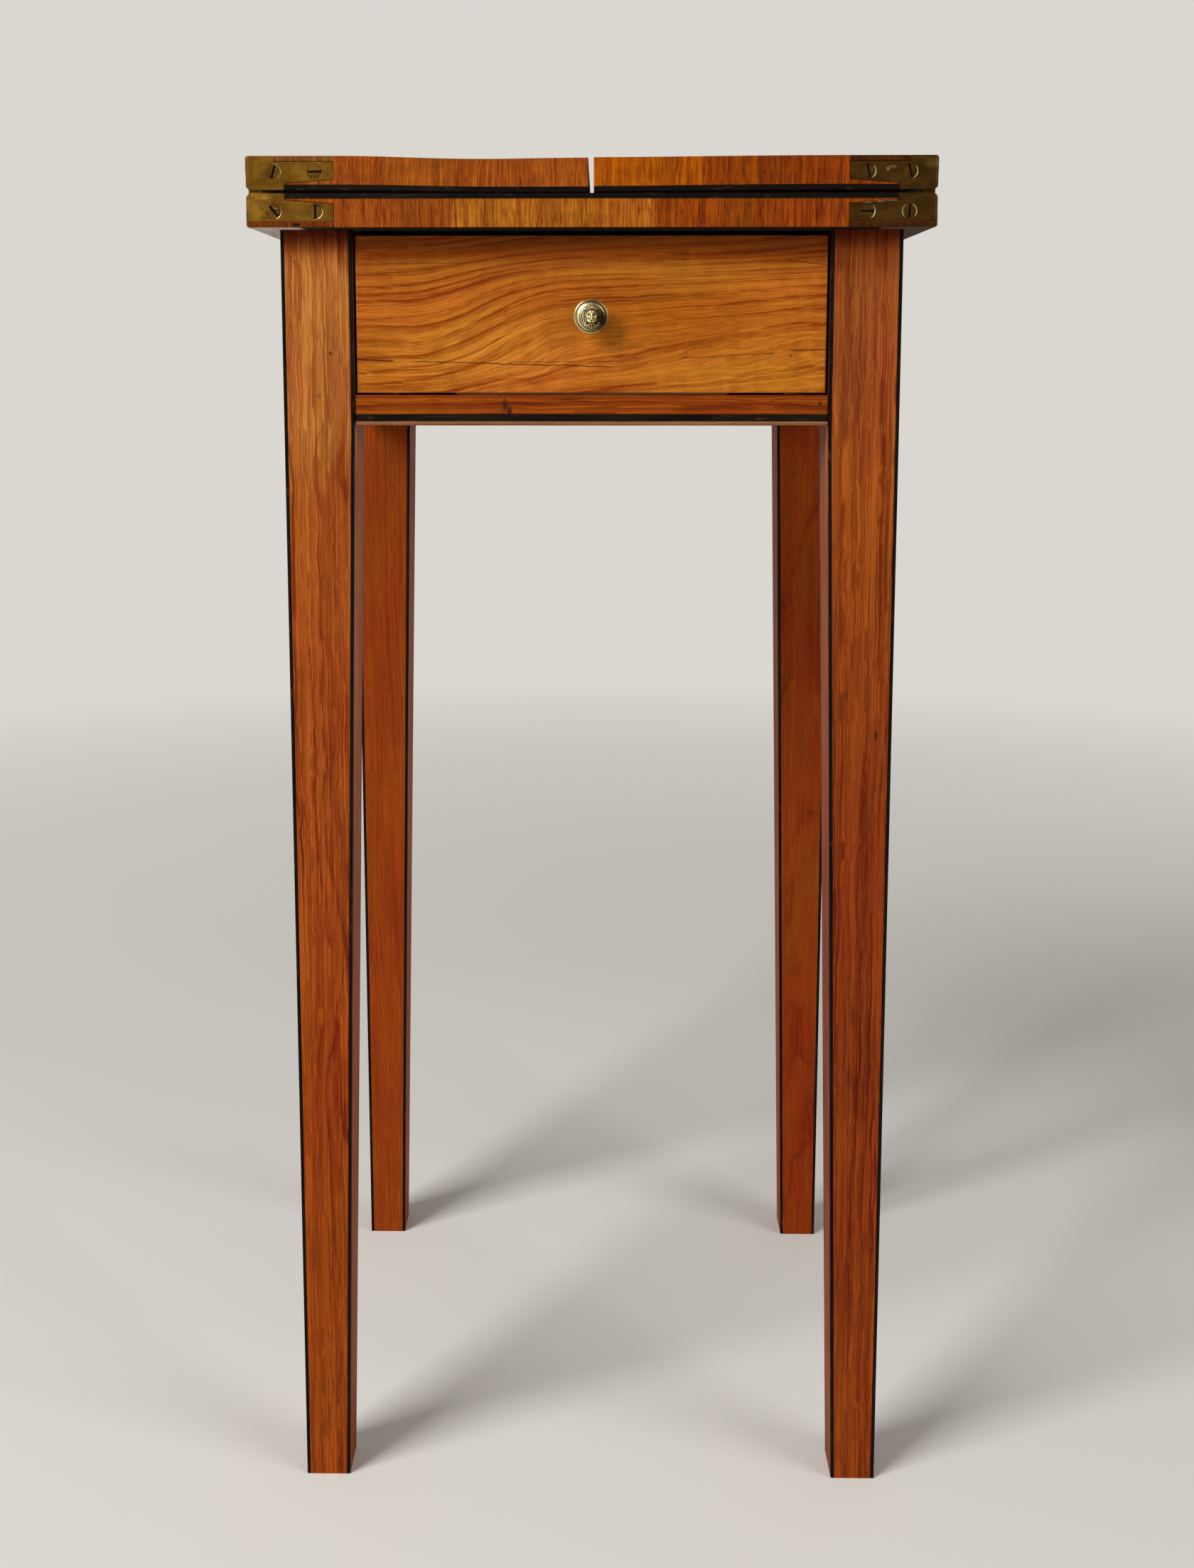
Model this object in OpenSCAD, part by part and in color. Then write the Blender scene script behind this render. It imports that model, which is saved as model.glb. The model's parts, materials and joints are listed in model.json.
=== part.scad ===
// Lamp table with a fold-over top, all sizes in millimetres.
// Two leaves lie closed on a fixed board and open sideways on brass link hinges that are
// let into the front and back edges. Four square tapered legs with dark strings in their
// arrises carry three aprons, a drawer rail and one dovetailed drawer.
// The origin is on the floor under the middle of the top, +X is right, the drawer faces -Y.

/* [Table] */
// Height with the leaves closed
total_h = 750; // [680:1:820]
// Width across the outer faces of the legs
frame_w = 330; // [300:1:420]
// Depth across the outer faces of the legs
frame_d = 300; // [260:1:400]
// How far the top stands out past the legs all round
overhang = 15; // [8:0.5:24]

/* [Top boards] */
// Thickness of the fixed board and of each leaf
board_t = 17.5; // [16:0.5:22]
// Space between the fixed board and the closed leaves
board_gap = 1.5; // [1:0.1:2.5]
// Space between the two leaves in the middle
leaf_gap = 2.8; // [1:0.1:5]
// Radius of the top's four corners, seen from above
corner_r = 2.5; // [1:0.5:4]
// Radius on the outer arris at the two ends
end_r = 1.8; // [0.8:0.1:2.5]
// Height of the dark string round a board's joint side
edge_string_h = 2.7; // [1.5:0.1:3.2]
// Width of that string across the board
edge_string_w = 2.4; // [1.2:0.1:4]

/* [Legs] */
// Side of the square leg at the top
leg_top = 38; // [34:0.5:48]
// Side of the square leg at the floor
leg_foot = 25; // [18:0.5:32]
// Side of the square string in each arris
leg_string = 1.9; // [1:0.1:3]

/* [Aprons and drawer rail] */
// Height of the aprons
apron_h = 103.4; // [90:0.2:130]
// Thickness of the aprons
apron_t = 18; // [15:0.5:22]
// How far aprons, rail and drawer front stand back from the face of the legs
setback = 1; // [0:0.1:2]
// Height of the plain wood above the rail's dark string
rail_face_h = 10.5; // [8:0.1:16]
// Height of the dark string along rail and aprons
band_h = 3.6; // [2:0.1:5]
// Height of the thin wood strip below that string
strip_h = 2.3; // [1.5:0.1:4]
// Depth of both into the wood
band_t = 2.5; // [1.5:0.1:4]
// Depth of the drawer rail from front to back
rail_d = 45; // [40:1:60]
// Thickness of the apron tenons
tenon_t = 8; // [5:0.5:9]
// Wood left between two tenons that meet in a leg
tenon_apart = 4; // [2:0.5:8]
// Shoulder above and below the apron tenons
tenon_shoulder = 12; // [6:1:20]
// Distance of the rail's tenon behind its face
rail_tenon_in = 7; // [5:0.5:10]
// Shoulder above and below the rail's tenon
rail_shoulder = 1.5; // [1:0.1:3]
// Clearance round glued joints and let-in brass
glue = 0.1; // [0.05:0.01:0.2]

/* [Runners and fixings] */
// How far the runners reach past the drawer sides
runner_past = 5.5; // [2:0.5:12]
// Height of the guide that keeps the drawer straight
guide_h = 12; // [8:1:20]
// Length of the runner's stub tenon in the rail
stub_l = 6; // [3:0.5:10]
// Width of the runner's stub tenon
stub_w = 12; // [8:0.5:20]
// Height of the runner's stub tenon
stub_h = 6; // [4:0.5:9]
// Space between the glue blocks and the drawer's way
block_gap = 2; // [1:0.5:5]
// Length of the glue blocks
block_l = 45; // [30:1:60]
// Distance of the glue blocks from the middle
block_y = 62; // [40:1:75]
// How far the fixing screws reach into the top board
fixing_bite = 10; // [6:0.5:13]
// Thickness of the two drawer stops
stop_t = 3.4; // [2:0.1:4.4]
// Width of each drawer stop
stop_w = 30; // [20:1:50]
// Distance of the stops from the drawer sides
stop_in = 12; // [5:1:30]

/* [Drawer] */
// Thickness of the drawer front
front_t = 18; // [15:0.5:22]
// Thickness of the drawer sides and back
side_t = 8; // [6:0.5:11]
// Thickness of the drawer bottom
bottom_t = 5; // [4:0.5:7]
// Space behind the drawer
back_gap = 13; // [5:1:40]
// Space between the drawer front and each leg
side_play = 1.5; // [0.5:0.1:3]
// Space above the drawer front
top_play = 2.9; // [1:0.1:5]
// Space between the drawer front and the rail
rail_play = 1.1; // [0.5:0.1:2]
// How much lower the sides are than the front
side_drop = 4; // [1:0.5:8]
// How much lower the back is than the sides
back_drop = 3; // [0:0.5:8]
// Height of the drawer bottom above the lower edge of the sides
bottom_rise = 6; // [5:0.5:10]
// Depth of the grooves that hold the bottom
groove = 4; // [2:0.5:5]
// Wood left in front of the dovetails
lap = 6; // [4:0.5:8]
// Slope of the dovetails, run for one of rise
tail_slope = 7; // [5:0.5:9]
// Width of the pins between the dovetails at their narrow end
pin_w = 4; // [3:0.5:8]
// Running clearance under the drawer sides
run_gap = 0.2; // [0.1:0.05:0.5]
// Radius of the nails that hold the bottom
nail_r = 0.8; // [0.6:0.1:1.2]
// Radius of their heads
nail_head_r = 1.6; // [1.4:0.1:2.4]
// Length of the nails
nail_l = 19; // [12:0.5:25]

/* [Hinges] */
// Length of the hinge plates along the edge
plate_l = 46; // [40:0.5:60]
// Length of the knuckle at the outer end
knuckle_l = 20.5; // [18:0.5:24]
// Thickness of the plate's arm
plate_t = 3; // [2:0.1:4]
// Thickness of the knuckle
knuckle_t = 5; // [4:0.1:7]
// Wood left between the plate and the board's outer face
plate_strip = 3; // [2:0.1:4]
// Height of the arm beside the knuckle
arm_h = 11; // [9:0.1:12]
// Height of the arm at its tip
arm_tip_h = 9; // [8:0.1:10]
// Length of the leaf plate's head, which reaches the leaf's outer face
head_l = 15; // [8:0.5:20]
// Distance of each hinge pin from the board's end and from its joint face
pin_in = 5.2; // [4.6:0.1:6]
// Radius of the hinge pins
pin_r = 1.25; // [1:0.05:1.6]
// Radius of the link's round ends
link_r = 3.5; // [2.8:0.1:3.8]
// Thickness of the link
link_t = 1.8; // [1.2:0.1:2.4]
// Clearance between the faces of link and slot
slot_play = 0.1; // [0.05:0.01:0.2]
// Running clearance of the link on its pins
pin_play = 0.05; // [0.02:0.01:0.1]

/* [Screws] */
// Radius of the hinge screw heads
head_r = 3.65; // [3:0.05:4]
// Radius of the hinge screws' shanks
shank_r = 1.6; // [1.2:0.05:2]
// Length of the hinge screws
screw_l = 18; // [12:0.5:25]
// Distance of the first hinge screw from the outer end
screw_1 = 15; // [14:0.1:15.5]
// Distance of the second hinge screw from the outer end
screw_2 = 36.5; // [32:0.1:38]
// Distance of both from the plate's straight edge
screw_edge = 5.1; // [4.6:0.1:6]
// Width of the slots in the screw heads
slot_w = 1; // [0.6:0.1:1.4]
// Depth of the slots
slot_d = 1; // [0.6:0.1:1.4]

/* [Knob] */
// How far the knob sits below the middle of the drawer front
knob_drop = 1.3; // [0:0.1:6]
// Radius of the knob's face
knob_r = 9.2; // [7:0.1:12]
// Distance from the drawer front to the back of the knob's head
neck_l = 5.6; // [4:0.1:7]
// Depth of the cone behind the knob's face
flare_l = 3.6; // [2:0.1:4]
// Radius of the round bead that rims the face
bead_r = 1; // [0.6:0.1:1.3]
// Height of the domed face above the middle of the bead
dome_h = 3.2; // [2:0.1:4]
// Radius of the knob's neck
neck_r = 3.6; // [3:0.1:5]
// Radius of the knob's foot on the drawer front
foot_r = 6.2; // [5:0.1:8]
// Thickness of that foot
foot_t = 1.2; // [0.8:0.1:2]
// Radius of the knob's threaded shank
bolt_r = 2.2; // [1.8:0.1:3]
// Radius over the corners of the nut behind the drawer front
nut_r = 4.6; // [4:0.1:6]
// Height of nut and washer together
nut_t = 3.8; // [3:0.1:6]
// Radius of the washer
washer_r = 5.8; // [5:0.1:8]
// Thickness of the washer
washer_t = 0.8; // [0.5:0.1:1.5]

/* [Hidden] */
$fn = 48;
over = 1;
mid_x = frame_w / 2;
mid_y = frame_d / 2;
top_x = mid_x + overhang;
top_y = mid_y + overhang;
leaf_z = total_h - board_t;
base_z = leaf_z - board_gap - board_t;
apron_z = base_z - apron_h;
rail_h = rail_face_h + band_h + strip_h;
rail_z = apron_z + rail_h;
face_y = -mid_y + setback;
in_x = mid_x - leg_top;
in_y = mid_y - leg_top;
apron_in_x = mid_x - setback - apron_t;
apron_in_y = mid_y - setback - apron_t;
rail_back = face_y + rail_d;
tenon_l = leg_top - setback - (apron_t + tenon_t) / 2 - tenon_apart;
drawer_x = in_x - side_play;
front_z = rail_z + rail_play;
front_h = base_z - top_play - front_z;
side_z = rail_z + run_gap;
side_h = front_z + front_h - side_drop - side_z;
inner_x = drawer_x - side_t;
back_y = apron_in_y - back_gap - side_t;
front_back = face_y + front_t;
bottom_z = side_z + bottom_rise;
back_z = bottom_z + bottom_t;
block_s = apron_in_x - in_x - block_gap;
block_mid_x = -apron_in_x + block_s / 2;
stub_mid_x = -inner_x + (runner_past - side_t) / 2;
knob_z = front_z + front_h / 2 - knob_drop;
roll_r = pin_in + board_gap / 2;
relief_r = roll_r - 0.1;
knuckle_h = board_t - plate_strip;
fit = 0.02;
ease = 0.05;
nail_head_t = 1;
nail_x = [-inner_x * 0.6, 0, inner_x * 0.6];
tail_count = 3;
tail_pitch = side_h / tail_count;
strip_round = 0.8;
bead_l = neck_l + flare_l;
dome_edge = knob_r - 1.6 * bead_r;
dome_r = (pow(dome_edge, 2) + pow(dome_h, 2)) / (2 * dome_h);
screw_z = leaf_z + knuckle_h - screw_edge;
// Slot directions of the screws in degrees from upright, as they were left when driven home
base_slots = [[40, 0], [4, 90], [20, 65], [5, 80]];
leaf_slots = [[16, 88], [14, 12], [35, 70], [88, 25]];
cherry = [0.62, 0.30, 0.11];
cherry_light = [0.76, 0.43, 0.17];
ebony = [0.07, 0.06, 0.05];
brass = [0.55, 0.45, 0.20];
oak = [0.66, 0.53, 0.36];
steel = [0.42, 0.40, 0.38];
CORNERS = [["front_left", false, false], ["front_right", true, false],
           ["back_left", false, true], ["back_right", true, true]];

// The pieces are drawn for the front left corner and mirrored to the others
module corner(right, back) mirror([right ? 1 : 0, 0, 0]) mirror([0, back ? 1 : 0, 0]) children();

module block(low, high) translate(low) cube(high - low);

// An outline in X and Z, drawn out along Y
module along_y(low, high) translate([0, high, 0]) rotate([90, 0, 0]) linear_extrude(high - low) children();

// An outline in Y and Z, drawn out along X
module along_x(low, high) translate([low, 0, 0]) rotate([90, 0, 90]) linear_extrude(high - low) children();

// A round bar along Y
module bar_y(x, z, r, low, high) translate([x, high, z]) rotate([90, 0, 0]) cylinder(r = r, h = high - low);

// What a round of radius r, centred c in from both sides, takes off a corner
module corner_cut(c, r) difference() {
    translate([-over, -over]) square(c + over);
    translate([c, c]) circle(r);
}

// Section of a board whose joint side is down: relieved for the hinge, rounded on top
module board_section(w, joint_ends) difference() {
    square([w, board_t]);
    corner_cut(pin_in, relief_r);
    translate([0, board_t]) mirror([0, 1]) corner_cut(end_r, end_r);
    if (joint_ends == 2) translate([w, 0]) mirror([1, 0]) {
        corner_cut(pin_in, relief_r);
        translate([0, board_t]) mirror([0, 1]) corner_cut(end_r, end_r);
    }
}

// Plan of the whole top with its rounded corners
module top_plan() difference() {
    square([2 * top_x, 2 * top_y], center = true);
    for (sx = [-1, 1], sy = [-1, 1]) translate([sx * top_x, sy * top_y])
        mirror([sx > 0 ? 1 : 0, 0]) mirror([0, sy > 0 ? 1 : 0]) corner_cut(corner_r, corner_r);
}

module leaf_solid() intersection() {
    translate([-top_x, 0, leaf_z]) along_y(-top_y - over, top_y + over)
        board_section(top_x - leaf_gap / 2, 1);
    translate([0, 0, leaf_z - over]) linear_extrude(board_t + 2 * over) top_plan();
}

module base_solid() intersection() {
    translate([-top_x, 0, base_z + board_t]) mirror([0, 0, 1]) along_y(-top_y - over, top_y + over)
        board_section(2 * top_x, 2);
    translate([0, 0, base_z - over]) linear_extrude(board_t + 2 * over) top_plan();
}

// The rebate for the string, from the joint side of a board
module string_zone(low_x, high_x, low_z, high_z) difference() {
    block([low_x - over, -top_y - over, low_z], [high_x + over, top_y + over, high_z]);
    block([low_x + edge_string_w, -top_y + edge_string_w, low_z - over],
          [high_x - edge_string_w, top_y - edge_string_w, high_z + over]);
}

module leaf_string_zone() string_zone(-top_x, -leaf_gap / 2, leaf_z - over, leaf_z + edge_string_h);

module base_string_zone()
    string_zone(-top_x, top_x, leaf_z - board_gap - edge_string_h, leaf_z - board_gap + over);

// Outline of a hinge plate from the board's end and joint face, a little larger for its recess.
// A leaf's plate has a head that reaches the leaf's outer face.
module plate_outline(head, grow, past) {
    arm = knuckle_h + grow;
    face = board_t + past;
    polygon(concat([
        [-past, -past],
        [knuckle_l + grow, -past],
        [knuckle_l + grow, knuckle_h - arm_h - grow],
        [plate_l + grow, knuckle_h - arm_tip_h - grow],
        [plate_l + grow, arm]],
        head ? [[head_l + grow, arm], [head_l + grow, face], [-past, face]] : [[-past, arm]]));
}

// Plate blank for a leaf's edge: thin arm and head, thick knuckle
module plate_blank(head, grow = 0, past = 0) translate([-top_x, 0, leaf_z]) {
    along_y(-top_y - past, -top_y + plate_t + grow) plate_outline(head, grow, past);
    along_y(-top_y - past, -top_y + knuckle_t + grow) intersection() {
        plate_outline(false, grow, past);
        translate([-past, -past]) square([knuckle_l + grow + past, board_t + past]);
    }
}

// Mirrors a leaf's hinge half to the fixed board
module to_base() translate([0, 0, 2 * leaf_z - board_gap]) mirror([0, 0, 1]) children();

// Slot in the knuckle, open to the board's end and joint face so that the link can swing
module link_slot() {
    r = link_r + 0.3;
    t = link_t / 2 + slot_play;
    y = -top_y + knuckle_t / 2;
    x = -top_x + pin_in;
    z = leaf_z + pin_in;
    bar_y(x, z, r, y - t, y + t);
    block([-top_x - over, y - t, leaf_z - over], [x, y + t, z + r]);
    block([x - r, y - t, leaf_z - over], [x + r, y + t, z]);
}

// A countersunk wood screw with its head at the origin, driven along +Z
module wood_screw(length, grow = 0) {
    cylinder(r1 = head_r + grow, r2 = shank_r + grow, h = head_r - shank_r);
    cylinder(r = shank_r + grow, h = length + grow);
}

module at_hinge_screw(distance)
    translate([-top_x + distance, -top_y, screw_z]) rotate([-90, 0, 0]) children();

module hinge_screw(distance, slot_angle) at_hinge_screw(distance) difference() {
    wood_screw(screw_l);
    rotate(slot_angle) translate([-slot_w / 2, -2 * head_r, -over]) cube([slot_w, 4 * head_r, over + slot_d]);
}

module hinge_screw_holes() for (distance = [screw_1, screw_2]) at_hinge_screw(distance) {
    wood_screw(screw_l, ease);
    translate([0, 0, -over]) cylinder(r = head_r + ease, h = over);
}

module hinge_plate(head) color(brass) difference() {
    intersection() {
        plate_blank(head);
        leaf_solid();
    }
    link_slot();
    bar_y(-top_x + pin_in, leaf_z + pin_in, pin_r + fit, -top_y - over, -top_y + knuckle_t + over);
    hinge_screw_holes();
}

// What the hinges take out of a leaf at its front and back edges
module hinge_recesses(head) for (back = [false, true]) corner(false, back) {
    plate_blank(head, glue, over);
    hinge_screw_holes();
}

module leaf() color(cherry_light) difference() {
    leaf_solid();
    leaf_string_zone();
    hinge_recesses(true);
}

module leaf_string() color(ebony) difference() {
    intersection() {
        leaf_solid();
        leaf_string_zone();
    }
    hinge_recesses(true);
}

module base_hinge_recesses() for (right = [false, true]) corner(right, false) to_base() hinge_recesses(false);

module base_board() color(cherry_light) difference() {
    base_solid();
    base_string_zone();
    base_hinge_recesses();
    for (right = [false, true], back = [false, true]) corner(right, back) fixing_screw(ease);
}

module base_board_string() color(ebony) difference() {
    intersection() {
        base_solid();
        base_string_zone();
    }
    base_hinge_recesses();
}

// The link that joins the two pins of a hinge
module link() color(brass) {
    x = -top_x + pin_in;
    y = -top_y + knuckle_t / 2;
    pins = [leaf_z + pin_in, leaf_z - board_gap - pin_in];
    difference() {
        union() {
            for (z = pins) bar_y(x, z, link_r, y - link_t / 2, y + link_t / 2);
            block([x - link_r, y - link_t / 2, pins[1]], [x + link_r, y + link_t / 2, pins[0]]);
        }
        for (z = pins) bar_y(x, z, pin_r + pin_play, y - link_t, y + link_t);
    }
}

module hinge_pin() bar_y(-top_x + pin_in, leaf_z + pin_in, pin_r, -top_y, -top_y + knuckle_t);

module leaf_pins() color(brass) for (back = [false, true]) corner(false, back) hinge_pin();

module base_pins() color(brass)
    for (c = CORNERS) corner(c[1], c[2]) to_base() hinge_pin();

module hinge_screws(slot_angles) {
    hinge_screw(screw_1, slot_angles[0]);
    hinge_screw(screw_2, slot_angles[1]);
}

module leaf_screws(first) color(brass) {
    hinge_screws(leaf_slots[first]);
    corner(false, true) hinge_screws(leaf_slots[first + 2]);
}

module base_plate_screws() color(brass)
    for (i = [0:3]) corner(CORNERS[i][1], CORNERS[i][2]) to_base() hinge_screws(base_slots[i]);

// Outline of a leg from its outer face, drawn in by inset on both sides
function leg_in(z) = z < apron_z ? leg_foot + (leg_top - leg_foot) * z / apron_z : leg_top;
function leg_outline(inset, low, high) = [
    [inset, low], [leg_in(low) - inset, low], [leg_top - inset, apron_z],
    [leg_top - inset, high], [inset, high]];

// Square leg, tapered on its two inner faces below the aprons
module leg_prism(inset_x, inset_y, past) translate([-mid_x, -mid_y, 0]) intersection() {
    along_y(-past, leg_top + past) polygon(leg_outline(inset_x, -past, base_z + past));
    along_x(-past, leg_top + past) polygon(leg_outline(inset_y, -past, base_z + past));
}

module leg_strings(right, back) color(ebony) corner(right, back) difference() {
    leg_prism(0, 0, 0);
    leg_prism(leg_string, -over, over);
    leg_prism(-over, leg_string, over);
}

// Tenons in the front left corner, a little larger for their mortises
module apron_tenon(grow = 0) block(
    [-apron_in_x - (apron_t + tenon_t) / 2 - grow, -in_y - tenon_l - grow, apron_z + tenon_shoulder - grow],
    [-apron_in_x - (apron_t - tenon_t) / 2 + grow, -in_y + over, base_z - tenon_shoulder + grow]);

module back_tenon(grow = 0) block(
    [-in_x - tenon_l - grow, -apron_in_y - (apron_t + tenon_t) / 2 - grow, apron_z + tenon_shoulder - grow],
    [-in_x + over, -apron_in_y - (apron_t - tenon_t) / 2 + grow, base_z - tenon_shoulder + grow]);

module rail_tenon(grow = 0) block(
    [-in_x - tenon_l - grow, face_y + rail_tenon_in - grow, rail_z - rail_face_h + rail_shoulder - grow],
    [-in_x + over, -in_y - rail_tenon_in + grow, rail_z - rail_shoulder + grow]);

module leg(right, back) color(cherry) corner(right, back) difference() {
    union() {
        leg_prism(leg_string, 0, 0);
        leg_prism(0, leg_string, 0);
    }
    apron_tenon(glue);
    if (back) back_tenon(glue);
    else rail_tenon(glue);
}

// The rebate along the bottom of a face that looks along -Y, for dark string and wood strip
module band_rebate(x) block([-x - over, face_y - over, apron_z - over],
                            [x + over, face_y + band_t, apron_z + strip_h + band_h]);

module band(x) block([-x, face_y, apron_z + strip_h], [x, face_y + band_t, apron_z + strip_h + band_h]);

// The lower front arris of the strip is rounded over
module strip(x) translate([0, face_y, apron_z]) along_x(-x, x) difference() {
    square([band_t, strip_h]);
    corner_cut(strip_round, strip_round);
}

// Turns what is drawn for the front onto the left side
module to_left() translate([-mid_x + mid_y, 0, 0]) rotate(-90) children();

module side_apron() color(cherry) {
    difference() {
        block([-mid_x + setback, -in_y, apron_z], [-apron_in_x, in_y, base_z]);
        to_left() band_rebate(in_y);
    }
    for (back = [false, true]) corner(false, back) apron_tenon();
}

module apron_back() color(cherry) corner(false, true) {
    difference() {
        block([-in_x, face_y, apron_z], [in_x, face_y + apron_t, base_z]);
        band_rebate(in_x);
    }
    for (right = [false, true]) corner(right, false) back_tenon();
}

module apron_strings() color(ebony) {
    for (right = [false, true]) corner(right, false) to_left() band(in_y);
    corner(false, true) band(in_x);
}

module apron_strips() color(cherry) {
    for (right = [false, true]) corner(right, false) to_left() strip(in_y);
    corner(false, true) strip(in_x);
}

// Stub tenon of the left runner, a little larger for its mortise
module stub(grow = 0) block(
    [stub_mid_x - stub_w / 2 - grow, rail_back - stub_l - grow, rail_z - (rail_h + stub_h) / 2 - grow],
    [stub_mid_x + stub_w / 2 + grow, rail_back + over, rail_z - (rail_h - stub_h) / 2 + grow]);

module drawer_rail() color(cherry) {
    difference() {
        block([-in_x, face_y, apron_z], [in_x, rail_back, rail_z]);
        band_rebate(in_x);
        for (right = [false, true]) corner(right, false) stub(glue);
    }
    for (right = [false, true]) corner(right, false) rail_tenon();
}

module rail_string() color(ebony) band(in_x);

module rail_strip() color(cherry_light) strip(in_x);

// Runner on the apron's inside, notched round the back leg and tenoned into the rail
module runner() color(oak) {
    block([-apron_in_x, rail_back, apron_z], [-inner_x + runner_past, in_y, rail_z]);
    block([-in_x, in_y - over, apron_z], [-inner_x + runner_past, apron_in_y, rail_z]);
    stub();
}

module guide() color(oak) block([-apron_in_x, rail_back, rail_z], [-in_x, in_y, rail_z + guide_h]);

// Glue block in the angle between apron and top, bored for its screw
module glue_blocks() color(oak) for (c = CORNERS) corner(c[1], c[2]) difference() {
    block([-apron_in_x, -block_y - block_l / 2, base_z - block_s],
          [-apron_in_x + block_s, -block_y + block_l / 2, base_z]);
    fixing_screw(ease);
}

module fixing_screw(grow = 0) translate([block_mid_x, -block_y, base_z - block_s])
    wood_screw(block_s + fixing_bite, grow);

module top_screws() color(steel) for (c = CORNERS) corner(c[1], c[2]) fixing_screw();

// Blocks on the rail that the drawer front closes against
module drawer_stops() color(oak) for (right = [false, true]) corner(right, false)
    block([-inner_x + stop_in, front_back + run_gap, rail_z],
          [-inner_x + stop_in + stop_w, rail_back, rail_z + stop_t]);

// Row of dovetails in Y and Z, wide at their end, from a shoulder at y = 0 to y = -len
module tails(length, grow) {
    flare = (length + over) / tail_slope;
    for (i = [0:tail_count - 1]) {
        low = i * tail_pitch + pin_w / 2 - grow;
        high = (i + 1) * tail_pitch - pin_w / 2 + grow;
        polygon([[over, low + flare], [over, high - flare], [-length - grow, high], [-length - grow, low]]);
    }
}

module front_tails(grow = 0, past = 0) translate([0, front_back, side_z])
    along_x(-drawer_x - past, -inner_x + grow) tails(front_t - lap, grow);

module back_tails(grow = 0, past = 0) translate([0, back_y, side_z]) mirror([0, 1, 0])
    along_x(-drawer_x - past, -inner_x + grow) tails(side_t, grow);

// The bottom slides in from behind, under the drawer back
module bottom_panel(grow = 0, past = 0) block(
    [-inner_x - groove - grow, front_back - groove - grow, bottom_z - grow],
    [inner_x + groove + grow, back_y + side_t + past, bottom_z + bottom_t + grow]);

module drawer_side() color(oak) difference() {
    union() {
        block([-drawer_x, front_back, side_z], [-inner_x, back_y, side_z + side_h]);
        front_tails();
        back_tails();
    }
    bottom_panel(glue, over);
}

module drawer_front() color(cherry_light) difference() {
    block([-drawer_x, face_y, front_z], [drawer_x, front_back, front_z + front_h]);
    for (right = [false, true]) corner(right, false) front_tails(glue, over);
    bottom_panel(glue);
    bar_y(0, knob_z, bolt_r + ease, face_y - over, front_back + over);
}

module drawer_back() color(oak) difference() {
    block([-drawer_x, back_y, back_z], [drawer_x, back_y + side_t, side_z + side_h - back_drop]);
    for (right = [false, true]) corner(right, false) back_tails(glue, over);
    for (x = nail_x) nail(x, fit);
}

module drawer_bottom() color(oak) difference() {
    bottom_panel();
    for (x = nail_x) nail(x, fit);
}

module nail(x, grow = 0) translate([x, back_y + side_t / 2, bottom_z - grow]) {
    cylinder(r = nail_r + grow, h = nail_l + 2 * grow);
    cylinder(r = nail_head_r + grow, h = nail_head_t + 2 * grow);
}

module drawer_bottom_nails() color(steel) for (x = nail_x) nail(x);

// Half section of the knob: foot, neck, flared head, bead and domed face
module knob_section() difference() {
    union() {
        square([foot_r, foot_t]);
        polygon([[0, 0], [foot_r - foot_t, 0], [foot_r - foot_t, foot_t], [neck_r, neck_l],
                 [knob_r - bead_r, bead_l], [0, bead_l]]);
        translate([knob_r - bead_r, bead_l]) circle(bead_r);
        intersection() {
            translate([0, bead_l + dome_h - dome_r]) circle(dome_r);
            translate([0, bead_l]) square([knob_r, dome_h + over]);
        }
    }
    translate([-over, -over]) square([bolt_r + ease + over, neck_l + over]);
}

module knob() color(brass)
    translate([0, face_y, knob_z]) rotate([90, 0, 0]) rotate_extrude() knob_section();

// Threaded shank through the drawer front, drawn plain
module knob_bolt() color(brass) bar_y(0, knob_z, bolt_r, face_y - neck_l + glue, front_back + nut_t + 2);

module knob_nut() color(brass) difference() {
    translate([0, front_back, knob_z]) rotate([-90, 0, 0]) {
        cylinder(r = washer_r, h = washer_t);
        cylinder(r = nut_r, h = nut_t, $fn = 6);
    }
    bar_y(0, knob_z, bolt_r + fit, front_back - over, front_back + nut_t + over);
}

base_board();
base_board_string();
leaf();  // leaf_left
leaf_string();  // leaf_left_string
corner(true, false) leaf();  // leaf_right
corner(true, false) leaf_string();  // leaf_right_string
for (c = CORNERS) {
    corner(c[1], c[2]) to_base() hinge_plate(false);
    corner(c[1], c[2]) hinge_plate(true);
    corner(c[1], c[2]) link();
    leg(c[1], c[2]);
    leg_strings(c[1], c[2]);
}
base_pins();
leaf_pins();  // leaf_pins_left
corner(true, false) leaf_pins();  // leaf_pins_right
base_plate_screws();
leaf_screws(0);  // leaf_screws_left
corner(true, false) leaf_screws(1);  // leaf_screws_right
side_apron();  // apron_left
corner(true, false) side_apron();  // apron_right
apron_back();
apron_strings();
apron_strips();
drawer_rail();
rail_string();
rail_strip();
runner();  // runner_left
corner(true, false) runner();  // runner_right
guide();  // guide_left
corner(true, false) guide();  // guide_right
glue_blocks();
top_screws();
drawer_stops();
drawer_front();
drawer_side();  // drawer_side_left
corner(true, false) drawer_side();  // drawer_side_right
drawer_back();
drawer_bottom();
drawer_bottom_nails();
knob();
knob_bolt();
knob_nut();
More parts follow.
